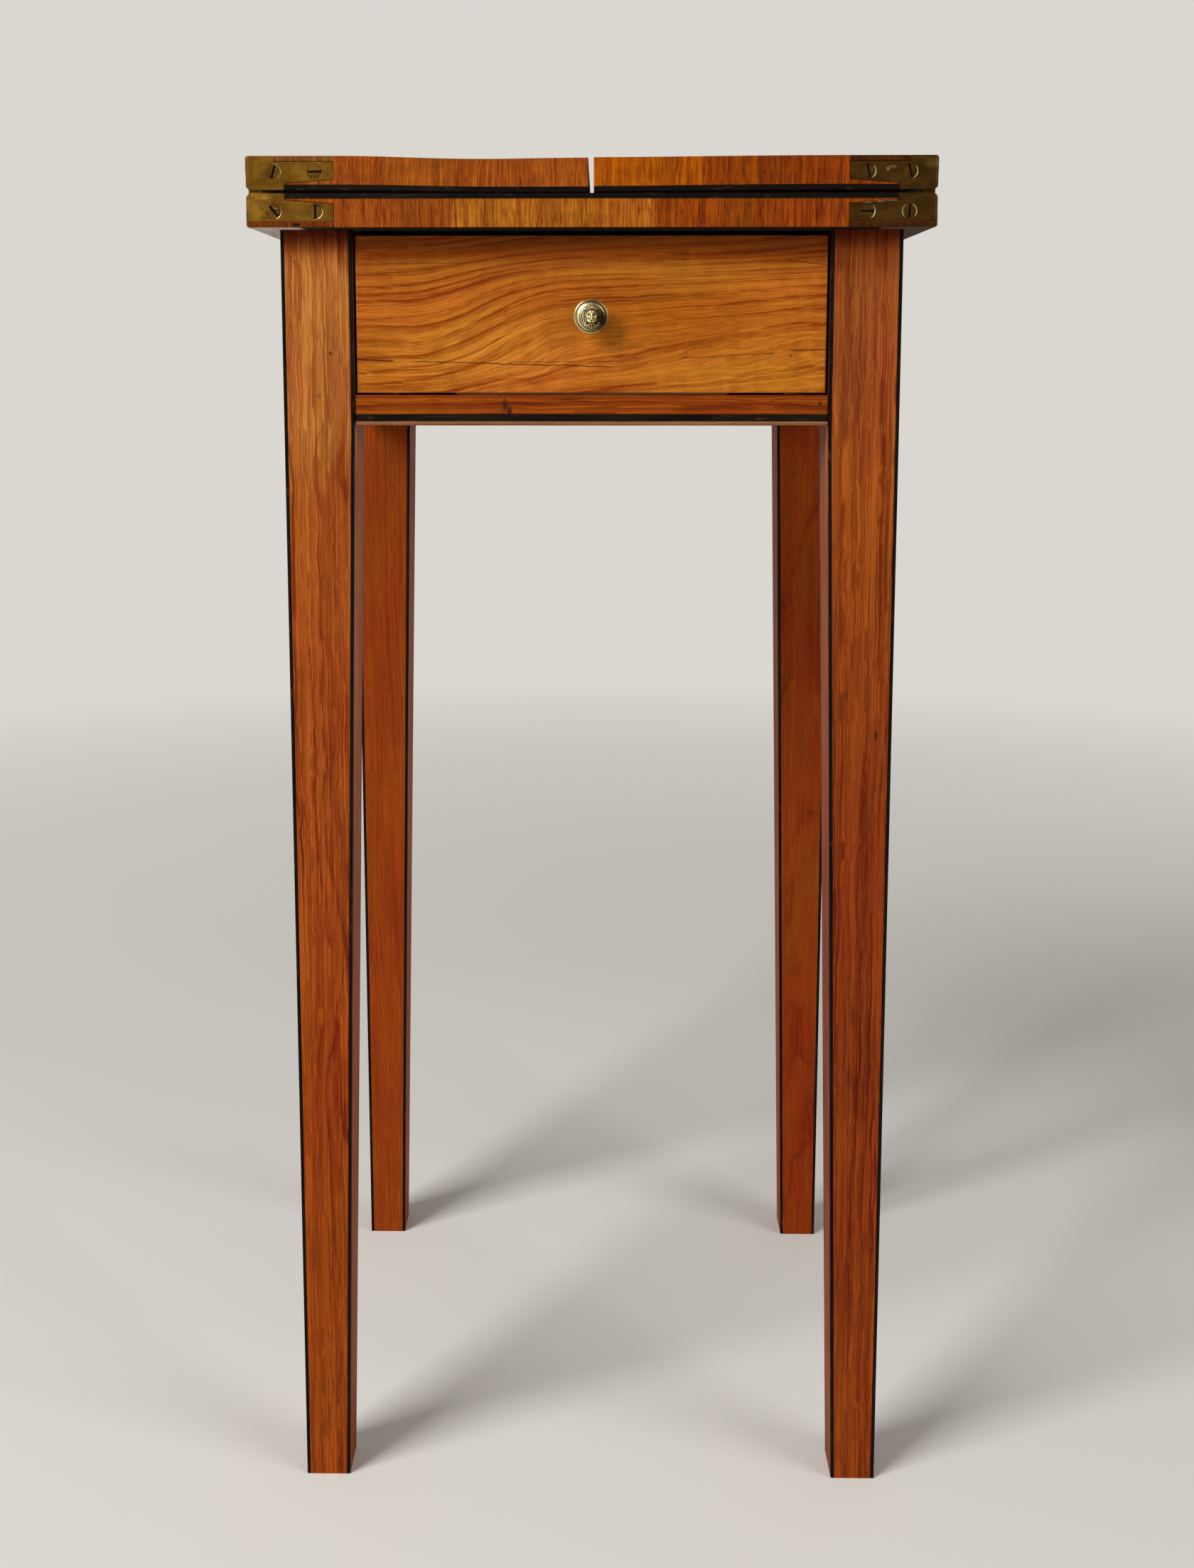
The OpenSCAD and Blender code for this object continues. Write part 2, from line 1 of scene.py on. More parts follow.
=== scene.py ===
import json
import math
import bmesh
import bpy
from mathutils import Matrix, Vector


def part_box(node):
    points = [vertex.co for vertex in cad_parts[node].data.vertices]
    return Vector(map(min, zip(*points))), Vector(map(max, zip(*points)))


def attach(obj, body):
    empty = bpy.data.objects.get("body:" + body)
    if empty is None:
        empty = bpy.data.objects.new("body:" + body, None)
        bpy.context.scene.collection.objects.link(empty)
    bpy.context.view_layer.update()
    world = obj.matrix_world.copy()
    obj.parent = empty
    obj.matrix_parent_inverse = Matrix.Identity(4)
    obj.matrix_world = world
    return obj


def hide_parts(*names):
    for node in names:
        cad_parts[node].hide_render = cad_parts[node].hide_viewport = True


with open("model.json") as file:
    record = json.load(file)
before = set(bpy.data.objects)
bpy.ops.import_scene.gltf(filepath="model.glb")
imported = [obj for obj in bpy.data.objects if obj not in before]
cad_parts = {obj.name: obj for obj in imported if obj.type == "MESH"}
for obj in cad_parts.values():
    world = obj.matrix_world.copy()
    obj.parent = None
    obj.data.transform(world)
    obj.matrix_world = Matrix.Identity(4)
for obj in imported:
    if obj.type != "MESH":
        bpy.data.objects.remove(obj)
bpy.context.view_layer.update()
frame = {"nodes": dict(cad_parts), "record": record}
scene = bpy.context.scene
scene.view_settings.view_transform = "Standard"

# Camera: it stands about a metre in front of the table, level with the foot of the drawer, and
# looks a little down. The picture is cropped off the lens's axis, so the lens is shifted to match.
picture_w = 1680
picture_h = 2206
focal_px = 2351.3
lens_axis_px = (813.1, 812.6)
eye = (0.0054, -1.0498, 0.6432)
look_down = 0.1274
look_left = 0.0138
bpy.ops.object.camera_add(location=eye, rotation=(math.pi / 2 - look_down, 0, look_left))
camera = bpy.context.object
camera.data.sensor_fit = "VERTICAL"
camera.data.sensor_height = 36
camera.data.lens = camera.data.sensor_height * focal_px / picture_h
camera.data.shift_x = (picture_w / 2 - lens_axis_px[0]) / picture_h
camera.data.shift_y = (lens_axis_px[1] - picture_h / 2) / picture_h
scene.camera = camera


# Studio: a pale floor that fades into a pale backdrop, and two soft lamps as large as windows,
# the stronger one on the left. The backdrop is brighter to the eye and to gloss than as a light.
def put(tree, kind, sockets=None, **settings):
    """A shader node with its settings, and with a value or a link in each named socket."""
    made = tree.nodes.new("ShaderNode" + kind)
    for name, value in settings.items():
        setattr(made, name, value)
    for name, value in (sockets or {}).items():
        if isinstance(value, bpy.types.NodeSocket):
            tree.links.new(value, made.inputs[name])
        else:
            made.inputs[name].default_value = value
    return made


def calc(tree, operation, first, second=0.0, third=0.0):
    return put(tree, "Math", {0: first, 1: second, 2: third}, operation=operation).outputs[0]


def blend(tree, factor, first, second, how="MIX"):
    """A colour mixed from two, with the socket numbers of the colour form of the node."""
    sockets = {0: factor, 6: first, 7: second}
    return put(tree, "Mix", sockets, data_type="RGBA", blend_type=how).outputs[2]


def between(tree, value, low, high, to_low=0.0, to_high=1.0, course="LINEAR"):
    """The value, taken from one range to another and held inside it."""
    sockets = {"Value": value, "From Min": low, "From Max": high, "To Min": to_low, "To Max": to_high}
    return put(tree, "MapRange", sockets, interpolation_type=course).outputs["Result"]


def fresh_material(name):
    """A new material, its node tree, its shader, and the place on the piece that patterns follow."""
    material = bpy.data.materials.new(name)
    material.use_nodes = True
    tree = material.node_tree
    return material, tree, tree.nodes["Principled BSDF"], put(tree, "TexCoord").outputs["Object"]


backdrop = (0.70, 0.68, 0.635, 1)
backdrop_light = 0.3
floor_r = 3.0
floor_fade = (0.7, 2.3)
# Each lamp's place, size and power
lamps = {"window_left": ((-2.2, -1.9, 2.5), 1.5, 124), "window_right": ((2.4, -1.6, 1.8), 1.5, 33)}
lamp_aim = Vector((0, 0, 0.4))


def seen_strength(tree):
    """How bright the backdrop is: fully to the eye and to gloss, and less as a light."""
    path = put(tree, "LightPath").outputs
    seen = calc(tree, "ADD", path["Is Camera Ray"], path["Is Glossy Ray"])
    seen = calc(tree, "ADD", seen, path["Is Transmission Ray"])
    return between(tree, seen, 0, 1, backdrop_light, 1)


scene.world = bpy.data.worlds.new("studio")
scene.world.use_nodes = True
sky = scene.world.node_tree
sky.nodes["Background"].inputs["Color"].default_value = backdrop
sky.links.new(seen_strength(sky), sky.nodes["Background"].inputs["Strength"])

bpy.ops.mesh.primitive_circle_add(vertices=96, radius=floor_r, fill_type="NGON")
floor = bpy.context.object
floor.name = "floor"
floor_paint, tree, shader, where = fresh_material("floor")
floor.data.materials.append(floor_paint)
shader.inputs["Base Color"].default_value = (0.72, 0.70, 0.66, 1)
shader.inputs["Roughness"].default_value = 0.9
distance = put(tree, "VectorMath", {0: where}, operation="LENGTH").outputs["Value"]
far = put(tree, "Emission", {"Color": backdrop, "Strength": seen_strength(tree)}).outputs[0]
fade = put(tree, "MixShader", {0: between(tree, distance, *floor_fade), 1: shader.outputs[0], 2: far})
tree.links.new(fade.outputs[0], tree.nodes["Material Output"].inputs["Surface"])

for name, (place, size, power) in lamps.items():
    bpy.ops.object.light_add(type="AREA", location=place)
    lamp = bpy.context.object
    lamp.name = name
    lamp.data.size = size
    lamp.data.energy = power
    lamp.rotation_euler = (lamp_aim - Vector(place)).to_track_quat("-Z", "Y").to_euler()


# Legs: four square cherry legs, tapered on their two inner faces. Each is cut from its own plank,
# so each has its own colour, and the front ones show a few pin knots.
top_half_x, top_half_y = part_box("base_board")[1][:2]
leg_face_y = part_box("leg_front_left")[0][1]
bodies = frame["record"]["behaviour"]["bodies"]
body_of = {node: body for body, nodes in bodies.items() for node in nodes}
weld = 1e-6
flat_angle = math.radians(0.4)
arris_angle = math.radians(30)
smooth_angle = math.radians(40)


def worked(node, name, arris, least=0.0, segments=2, shaped=None):
    """A copy of a CAD node with its outer arrises rounded, which then stands for the node. Arrises no
    longer than least stay sharp, what the rounding pushes past the node's box is brought back to it,
    and shaped is a function that works the copy further."""
    bpy.ops.object.select_all(action="DESELECT")
    piece = bpy.data.objects.new(name, frame["nodes"][node].data.copy())
    scene.collection.objects.link(piece)
    piece.select_set(True)
    bpy.context.view_layer.objects.active = piece
    piece.data.materials.clear()
    bpy.ops.object.mode_set(mode="EDIT")
    bpy.ops.mesh.select_all(action="SELECT")
    bpy.ops.mesh.remove_doubles(threshold=weld)
    bpy.ops.mesh.customdata_custom_splitnormals_clear()
    bpy.ops.mesh.dissolve_limited(angle_limit=flat_angle)
    bpy.ops.mesh.select_all(action="DESELECT")
    shape = bmesh.from_edit_mesh(piece.data)
    for edge in shape.edges:
        bent = len(edge.link_faces) == 2 and edge.is_convex and edge.calc_face_angle() > arris_angle
        edge.select_set(bent and edge.calc_length() > least)
    bpy.ops.mesh.bevel(offset=arris, segments=segments, affect="EDGES", clamp_overlap=False)
    bpy.ops.object.mode_set(mode="OBJECT")
    low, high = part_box(node)
    for vertex in piece.data.vertices:
        vertex.co = [min(max(c, a), b) for c, a, b in zip(vertex.co, low, high)]
    if shaped:
        shaped(piece)
    bpy.ops.object.shade_smooth_by_angle(angle=smooth_angle)
    bpy.ops.object.modifier_add(type="WEIGHTED_NORMAL")
    piece.modifiers[0].keep_sharp = True
    bpy.ops.object.modifier_apply(modifier=piece.modifiers[0].name)
    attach(piece, body_of[node])
    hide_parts(node)
    return piece


def shader_group(name, inputs, outputs):
    """An empty node group with named sockets, what it is given, and what it puts out."""
    made = bpy.data.node_groups.new(name, "ShaderNodeTree")
    for label, kind in inputs.items():
        made.interface.new_socket(label, in_out="INPUT", socket_type="NodeSocket" + kind)
    for label, kind in outputs.items():
        made.interface.new_socket(label, in_out="OUTPUT", socket_type="NodeSocket" + kind)
    return made, made.nodes.new("NodeGroupInput").outputs, made.nodes.new("NodeGroupOutput").inputs


def vector_calc(tree, operation, first, second=(0, 0, 0), scale=1.0):
    sockets = {0: first, "Scale": scale} if operation == "SCALE" else {0: first, 1: second}
    made = put(tree, "VectorMath", sockets, operation=operation).outputs
    return made["Value"] if operation == "LENGTH" else made["Vector"]


def blotches(tree, vector, size, detail=2.0, output="Fac"):
    """Noise with blotches of about that size on each axis, in the vector's own units."""
    shrunk = vector_calc(tree, "MULTIPLY", vector, [1 / s for s in size])
    return put(tree, "TexNoise", {"Vector": shrunk, "Scale": 1, "Detail": detail}).outputs[output]


def drift(tree, vector, size, detail=2.0):
    """A vector of noise about 0, that shifts a pattern this way and that."""
    return vector_calc(tree, "SUBTRACT", blotches(tree, vector, size, detail, "Color"), (0.5, 0.5, 0.5))


def swing(tree, noise, amount):
    """Noise about 0.5, turned into a swing about 0."""
    return calc(tree, "MULTIPLY_ADD", noise, 2 * amount, -amount)


def ramp(tree, value, stops, course="LINEAR"):
    """A colour that follows a value. Stops are places from 0 to 1 in rising order, and their colours."""
    made = put(tree, "ValToRGB", {"Fac": value})
    made.color_ramp.interpolation = course
    elements = made.color_ramp.elements
    for number, (place, colour) in enumerate(stops):
        stop = elements[number] if number < 2 else elements.new(place)
        stop.position = place
        stop.color = (*colour, 1)
    return made.outputs["Color"]


# Timber with its grain along X. Growth rings lie round a pith and wander along the plank. Streaks,
# fibres, pores and soft cross figure lie over them. Sizes inside the group are millimetres.
timber, given, result = shader_group(
    "timber",
    {"Vector": "Vector", "Pith": "Vector", "Ring Width": "Float", "Wander": "Float", "Rings": "Float",
     "Streaks": "Float", "Flecks": "Float", "Figure": "Float", "Pores": "Float", "Light": "Color",
     "Dark": "Color"},
    {"Color": "Color", "Roughness": "Float", "Height": "Float"})
grain = vector_calc(timber, "SCALE", given["Vector"], scale=1000)
sway = vector_calc(timber, "SCALE", drift(timber, grain, (95, 34, 34)), scale=given["Wander"])
from_pith = vector_calc(timber, "ADD", vector_calc(timber, "SUBTRACT", grain, given["Pith"]), sway)
radius = vector_calc(timber, "LENGTH", vector_calc(timber, "MULTIPLY", from_pith, (0, 1, 1)))
ring = calc(timber, "DIVIDE", radius, given["Ring Width"])
year = put(timber, "TexNoise", {"W": ring, "Scale": 0.31, "Detail": 1}, noise_dimensions="1D")
season = calc(timber, "FRACT", calc(timber, "ADD", ring, swing(timber, year.outputs["Fac"], 1.1)))
ring_shades = ((0, 0.3), (0.3, 0.02), (0.62, 0.3), (0.8, 0.55), (0.9, 1.0), (1, 0.3))
late_wood = ramp(timber, season, [(place, [shade] * 3) for place, shade in ring_shades], "EASE")
patch = between(timber, blotches(timber, grain, (120, 24, 24)), 0.34, 0.64, 0.25, 1)
rings = calc(timber, "MULTIPLY_ADD", late_wood, patch, -0.27)
ripple = vector_calc(timber, "MULTIPLY", drift(timber, grain, (26, 17, 17), 1), (0, 2.6, 2.6))
laid = vector_calc(timber, "ADD", grain, ripple)
broad = swing(timber, blotches(timber, laid, (190, 4.0, 4.0), 2), 0.8)
narrow = between(timber, blotches(timber, laid, (130, 0.8, 0.8), 2), 0.5, 0.7, 0.22, -1.0, "SMOOTHSTEP")
flecks = swing(timber, blotches(timber, laid, (9, 0.5, 0.5), 3), 1.0)
fibres = swing(timber, blotches(timber, laid, (20, 0.3, 0.3), 1), 1.0)
curl = swing(timber, blotches(timber, grain, (6, 18, 18), 2), 1.0)
pores = between(timber, blotches(timber, grain, (3.2, 0.26, 0.26), 1), 0.6, 0.72)
pores = calc(timber, "MULTIPLY", pores, given["Pores"])
tone = calc(timber, "MULTIPLY_ADD", rings, given["Rings"], 0.45)
tone = calc(timber, "MULTIPLY_ADD", calc(timber, "ADD", broad, narrow), given["Streaks"], tone)
tone = calc(timber, "MULTIPLY_ADD", fibres, 0.36, tone)
tone = calc(timber, "MULTIPLY_ADD", flecks, given["Flecks"], tone)
tone = calc(timber, "MAXIMUM", calc(timber, "MINIMUM", tone, 1.0), 0.0)
plain = blend(timber, tone, given["Light"], given["Dark"])
bright = calc(timber, "MULTIPLY_ADD", pores, -0.35, 1)
bright = calc(timber, "MULTIPLY_ADD", curl, given["Figure"], bright)
bright = calc(timber, "ADD", bright, swing(timber, blotches(timber, grain, (70, 22, 22), 2), 0.22))
hue = calc(timber, "ADD", swing(timber, blotches(timber, grain, (90, 30, 30)), 0.014), 0.5)
toned = put(timber, "HueSaturation", {"Color": plain, "Hue": hue, "Value": bright}).outputs[0]
smear = swing(timber, blotches(timber, grain, (45, 45, 45), 3), 0.09)
gloss = calc(timber, "ADD", calc(timber, "MULTIPLY_ADD", fibres, 0.05, 0.31), smear)
relief = calc(timber, "MULTIPLY_ADD", pores, -1, calc(timber, "MULTIPLY", fibres, 0.25))
timber.links.new(toned, result["Color"])
timber.links.new(gloss, result["Roughness"])
timber.links.new(relief, result["Height"])


def polished(name, light, dark, turn=(0, 0, 0), shift=(0, 0, 0), ring_width=2.6, bend=None,
             stain=None, bump=0.00005, dull=0.0, **nature):
    """A wood under polish. The turn brings its grain to X, and the shift picks its place in the tree.
    The ring width is in millimetres. Bend may change the coordinates first, and stain may change the
    colour and height last. Dull is how much rougher than fresh polish it is."""
    material, tree, shader, where = fresh_material(name)
    laid = bend(tree, where) if bend else where
    laid = put(tree, "Mapping", {"Vector": laid, "Location": shift, "Rotation": turn}).outputs[0]
    usual = {"Pith": (0, -90, 150), "Ring Width": ring_width, "Wander": 8.0, "Rings": 0.8, "Streaks": 0.6,
             "Flecks": 0.25, "Figure": 0.05, "Pores": 0.35}
    sockets = {"Vector": laid, "Light": (*light, 1), "Dark": (*dark, 1), **usual, **nature}
    wood = put(tree, "Group", sockets, node_tree=timber).outputs
    colour, height = wood["Color"], wood["Height"]
    if stain:
        colour, height = stain(tree, where, colour, height)
    tree.links.new(colour, shader.inputs["Base Color"])
    tree.links.new(calc(tree, "ADD", wood["Roughness"], dull), shader.inputs["Roughness"])
    relief = put(tree, "Bump", {"Height": height, "Distance": bump})
    tree.links.new(relief.outputs[0], shader.inputs["Normal"])
    shader.inputs["Specular IOR Level"].default_value = 0.08
    return material


# A knot, stain or bruise: a soft ragged spot round a centre
spot_mark, given, result = shader_group(
    "spot_mark", {"Vector": "Vector", "Centre": "Vector", "Reach": "Vector"}, {"Mask": "Float"})
ragged = drift(spot_mark, given["Vector"], [1 / 900] * 3)
away = vector_calc(spot_mark, "SUBTRACT", given["Vector"], given["Centre"])
away = vector_calc(spot_mark, "ADD", vector_calc(spot_mark, "DIVIDE", away, given["Reach"]), ragged)
away = vector_calc(spot_mark, "LENGTH", away)
spot_mark.links.new(between(spot_mark, away, 1.1, 0.35), result["Mask"])
knot_brown = (0.045, 0.012, 0.004)


def spotted(tree, where, colour, face_y, marks, ink=knot_brown, depth=0.003):
    """The colour with spots of ink on the face at face_y, which fade at that depth. Each mark is its
    middle in X and Z and its reach along them, all in millimetres, and its strength."""
    for x, z, reach_x, reach_z, strength in marks:
        sockets = {"Vector": where, "Centre": (x / 1000, face_y, z / 1000),
                   "Reach": (reach_x / 1000, depth, reach_z / 1000)}
        mask = put(tree, "Group", sockets, node_tree=spot_mark).outputs["Mask"]
        colour = blend(tree, calc(tree, "MULTIPLY", mask, strength), colour, (*ink, 1))
    return colour


def knots_and_painted_shade(face_y, marks, tints):
    """Pin knots on a face, and tints that change with height, painted shade among them. Tints are
    heights in metres and what colour the wood takes on there."""
    def stain(tree, where, colour, height):
        z = put(tree, "SeparateXYZ", {0: where}).outputs["Z"]
        colour = blend(tree, 1.0, colour, ramp(tree, z, tints), "MULTIPLY")
        return spotted(tree, where, colour, face_y, marks), height
    return stain


upright = (0, math.pi / 2, 0)
leg_arris = 0.0003
# Heights in metres, and the tint the wood takes there. The front legs darken towards the foot and
# take a painted shadow in the last few millimetres under the top; the back legs darken a little towards the
# foot.
leg_tints_and_painted_shadow = {
    "front_left": [(0.10, (0.64, 0.36, 0.10)), (0.24, (0.66, 0.36, 0.12)), (0.36, (0.70, 0.44, 0.25)),
                   (0.57, (0.80, 0.60, 0.40)), (0.61, (1, 1, 1)), (0.64, (0.93, 0.88, 0.9)),
                   (0.69, (1.04, 1.1, 1.1)), (0.7, (1.08, 1.05, 1.0)), (0.7045, (0.86, 0.64, 0.5)),
                   (0.711, (0.3, 0.13, 0.2))],
    "front_right": [(0.10, (0.84, 0.58, 0.25)), (0.24, (0.68, 0.42, 0.25)), (0.36, (0.76, 0.48, 0.3)),
                    (0.57, (1, 0.9, 0.6)), (0.64, (1, 1, 1)), (0.685, (0.96, 0.96, 0.96)),
                    (0.695, (0.82, 0.72, 0.7)), (0.704, (1.1, 0.95, 0.85)), (0.711, (0.6, 0.3, 0.3))],
    "back_left": [(0.1, (0.95, 0.9, 0.8)), (0.6, (1, 1, 1))],
    "back_right": [(0.1, (0.95, 0.9, 0.8)), (0.6, (1, 1, 1))],
}
# Each leg's light and dark wood, its pith, its place in the tree, and its knots
legs = {
    "front_left": ((0.56, 0.185, 0.036), (0.215, 0.040, 0.004), (-90, 150), (0.0, 0.0, 0.02),
                   [(-139.5, 648.5, 1.2, 1.4, 0.85), (-146, 626, 1.6, 2, 0.4)]),
    "front_right": ((0.38, 0.094, 0.015), (0.130, 0.018, 0.002), (-120, 110), (0.4, 0.3, 0.1),
                    [(140, 463, 0.6, 4.2, 0.8), (156.3, 441, 1.4, 3.4, 0.95)]),
    "back_left": ((0.34, 0.060, 0.004), (0.19, 0.022, 0.001), (-70, 170), (0.9, 0.1, 0.5), []),
    "back_right": ((0.33, 0.052, 0.003), (0.17, 0.018, 0.001), (-150, 90), (1.3, 0.7, 0.2), []),
}
for corner, (light, dark, pith, shift, marks) in legs.items():
    leg = worked("leg_" + corner, "tapered_leg_" + corner, leg_arris)
    streaks, rings = (0.9, 0.7) if "front" in corner else (0.45, 0.6)
    leg.data.materials.append(polished(
        "cherry_leg_" + corner, light, dark, upright, shift, dull=0.26, Pith=(0, *pith),
        stain=knots_and_painted_shade(leg_face_y, marks, leg_tints_and_painted_shadow[corner]), Streaks=streaks, Rings=rings))


# Strings: square strips of pearwood, dyed black and let into every arris of the legs, along the foot
# of the aprons and round the joint side of the top boards. Rubbed places show the brown wood.
def ebony(name, turn=(0, 0, 0)):
    """Black dyed wood. The turn brings the length of the string to X."""
    material, tree, shader, where = fresh_material(name)
    where = put(tree, "Mapping", {"Vector": where, "Rotation": turn}).outputs[0]
    rubbed = between(tree, blotches(tree, where, (0.012, 0.003, 0.003), 3), 0.62, 0.72, 0, 0.75)
    dusty = between(tree, blotches(tree, where, (0.05, 0.02, 0.02), 3), 0.45, 0.7)
    worn = between(tree, blotches(tree, where, (0.03, 0.0007, 0.0007), 3), 0.56, 0.74)
    patches = between(tree, blotches(tree, where, (0.03, 0.01, 0.01)), 0.5, 0.62, 0, 0.7)
    worn = calc(tree, "MULTIPLY", worn, patches)
    colour = blend(tree, dusty, (0.003, 0.0015, 0.0008, 1), (0.008, 0.005, 0.003, 1))
    colour = blend(tree, worn, colour, (0.040, 0.024, 0.012, 1))
    colour = blend(tree, rubbed, colour, (0.070, 0.026, 0.006, 1))
    tree.links.new(colour, shader.inputs["Base Color"])
    tree.links.new(between(tree, dusty, 0, 1, 0.42, 0.6), shader.inputs["Roughness"])
    shader.inputs["Specular IOR Level"].default_value = 0.07
    dents = blotches(tree, where, (0.006, 0.0016, 0.0016))
    relief = put(tree, "Bump", {"Height": dents, "Distance": 0.00015})
    tree.links.new(relief.outputs[0], shader.inputs["Normal"])
    return material


along_depth = (0, 0, -math.pi / 2)
ebonised = {"upright": ebony("ebonised_upright", upright), "level": ebony("ebonised_level"),
            "sideways": ebony("ebonised_sideways", along_depth)}
string_arris = 0.0004
side_string_x = top_half_x - 0.02


def lay_string(string):
    """The two lying materials, each on the lengths that run its way."""
    string.data.materials.append(ebonised["level"])
    string.data.materials.append(ebonised["sideways"])
    for face in string.data.polygons:
        if abs(face.normal.z) < 0.5:
            face.material_index = 1 if abs(face.normal.x) > abs(face.normal.y) else 0
        else:
            face.material_index = 1 if abs(face.center.x) > side_string_x else 0


for corner in legs:
    string = worked("leg_strings_" + corner, "arris_strings_" + corner, string_arris)
    string.data.materials.append(ebonised["upright"])


# Aprons and drawer rail: cherry boards tenoned between the legs. A dark string and a thin strip of
# lighter wood run along the foot of each, and the rail has a dark knot near its middle.
apron_arris = 0.0004
rail_arris = 0.0007
strip_arris = 0.0003
# Each apron's turn, its place in the tree, and its pith
aprons = {"left": (along_depth, (0.2, 0.5, 0.0), (0, 60, -40)),
          "right": (along_depth, (0.7, 0.2, 0.3), (0, 60, 170)),
          "back": ((0, 0, 0), (1.1, 0.4, 0.6), (0, 60, 380))}
for side, (turn, shift, pith) in aprons.items():
    apron = worked("apron_" + side, "framed_apron_" + side, apron_arris)
    apron.data.materials.append(polished(
        "cherry_apron_" + side, (0.42, 0.105, 0.008), (0.16, 0.022, 0.001), turn, shift, ring_width=4.2,
        Pith=pith, Wander=10.0))
rail = worked("drawer_rail", "framed_rail", rail_arris)
rail_low, rail_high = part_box("drawer_rail")
rail_knots = [(-46.2, 621.2, 2, 4, 0.95), (-43.7, 617.6, 1.9, 3.4, 0.95), (122.5, 622, 1.3, 1.6, 0.9)]
# The rail's top edge darkens over its last shaded_edge: a painted shadow under the drawer's foot
shaded_edge = 0.0012
rail_painted_shadow = [(rail_high[2] - shaded_edge, (1, 1, 1)), (rail_high[2] - 0.0005, (0.2, 0.12, 0.1))]
rail.data.materials.append(polished(
    "cherry_rail", (0.36, 0.072, 0.004), (0.12, 0.014, 0.001), shift=(0.3, 0, 0), ring_width=3.4,
    stain=knots_and_painted_shade(rail_low[1], rail_knots, rail_painted_shadow), Pith=(0, -60, 560), Streaks=0.9))
for node in ("apron_strings", "rail_string"):
    string = worked(node, "let_in_" + node, string_arris)
    lay_string(string)
pale_strip = polished("pale_strip", (0.32, 0.13, 0.055), (0.14, 0.05, 0.018), Pith=(0, -30, 500),
                      Pores=0.6)
for node in ("apron_strips", "rail_strip"):
    strip = worked(node, "foot_" + node, strip_arris)
    strip.data.materials.append(pale_strip)


# Inside of the carcass: runners, guides, stops and glue blocks of bare oak, rubbed with age. The four
# screws up through the glue blocks hold the top and are of old iron.
batten_arris = 0.0005
oak = polished("bare_oak", (0.42, 0.27, 0.135), (0.24, 0.14, 0.062), along_depth, ring_width=2.4,
               bump=0.00012, Pith=(0, 90, -60), Wander=5.0, Streaks=0.5, Pores=0.9)
inner = ["runner_left", "runner_right", "guide_left", "guide_right", "drawer_stops", "glue_blocks"]
for node in inner:
    batten = worked(node, "plain_" + node, batten_arris, least=0.002)
    batten.data.materials.append(oak)
iron, tree, shader, where = fresh_material("old_iron")
rust = between(tree, blotches(tree, where, (0.0015, 0.0015, 0.0015), 3), 0.45, 0.62)
rusty = blend(tree, rust, (0.11, 0.10, 0.095, 1), (0.10, 0.042, 0.02, 1))
tree.links.new(rusty, shader.inputs["Base Color"])
tree.links.new(between(tree, rust, 0, 1, 0.85, 0.1), shader.inputs["Metallic"])
shader.inputs["Roughness"].default_value = 0.5


def clad(nodes, material):
    """CAD nodes that stay as they are and take their real finish."""
    for node in nodes:
        mesh = frame["nodes"][node].data
        mesh.materials.clear()
        mesh.materials.append(material)


clad(["top_screws", "drawer_bottom_nails"], iron)


# Top: a fixed board and two leaves of cherry, their grain from front to back. The edges are lipped
# with short lengths of upright grain, which differ in colour and meet in dark joints.
lip_t = 0.0035
edge_y = -top_half_y
slip_depth = 0.015
joint_w = (0.0003, 0.0001)
joint_brown = (0.02, 0.006, 0.002, 1)
chip_black = (0.012, 0.004, 0.002)


def in_box(tree, where, low, high, soft=0.0003):
    """1 inside the box between two corners, 0 outside it."""
    centre = [(a + b) / 2 for a, b in zip(low, high)]
    half = [(b - a) / 2 for a, b in zip(low, high)]
    off = vector_calc(tree, "ABSOLUTE", vector_calc(tree, "SUBTRACT", where, centre))
    off = put(tree, "SeparateXYZ", {0: vector_calc(tree, "SUBTRACT", off, half)}).outputs
    furthest = calc(tree, "MAXIMUM", calc(tree, "MAXIMUM", off["X"], off["Y"]), off["Z"])
    return between(tree, furthest, 0, -soft)


def lipping_stain(first_tint, lengths, slips, chips):
    """Tints the lengths of lipping one by one and draws the joints between them. Each length has the
    place where it starts, measured in millimetres along X plus Y, which runs on round the edges, and
    its tint. Slips are the thin pieces beside the hinge plates, each from X and Z to X and Z, with its
    tint, and chips are dark."""
    def stain(tree, where, colour, height):
        axes = put(tree, "SeparateXYZ", {0: where}).outputs
        along = calc(tree, "ADD", axes["X"], axes["Y"])
        reach = top_half_x + top_half_y
        tints = [(0, first_tint)]
        dark = 0.0
        for start, tint in lengths:
            tints.append(((start / 1000 + reach) / (2 * reach), tint))
            off = calc(tree, "ABSOLUTE", calc(tree, "SUBTRACT", along, start / 1000))
            dark = calc(tree, "MAXIMUM", between(tree, off, *joint_w), dark)
        worn = between(tree, blotches(tree, where, (0.005, 0.005, 0.005)), 0.3, 0.6, 0.1, 0.75)
        dark = calc(tree, "MULTIPLY", dark, worn)
        tinted = ramp(tree, between(tree, along, -reach, reach), tints, "CONSTANT")
        colour = blend(tree, 1.0, colour, tinted, "MULTIPLY")
        for low_x, low_z, high_x, high_z, tint in slips:
            low = (low_x / 1000, edge_y - slip_depth, low_z / 1000)
            high = (high_x / 1000, edge_y + slip_depth, high_z / 1000)
            tinted = blend(tree, 1.0, colour, (*tint, 1), "MULTIPLY")
            colour = blend(tree, in_box(tree, where, low, high), colour, tinted)
        colour = blend(tree, dark, colour, joint_brown)
        colour = spotted(tree, where, colour, edge_y, chips, chip_black)
        return colour, calc(tree, "MULTIPLY_ADD", dark, -3, height)
    return stain


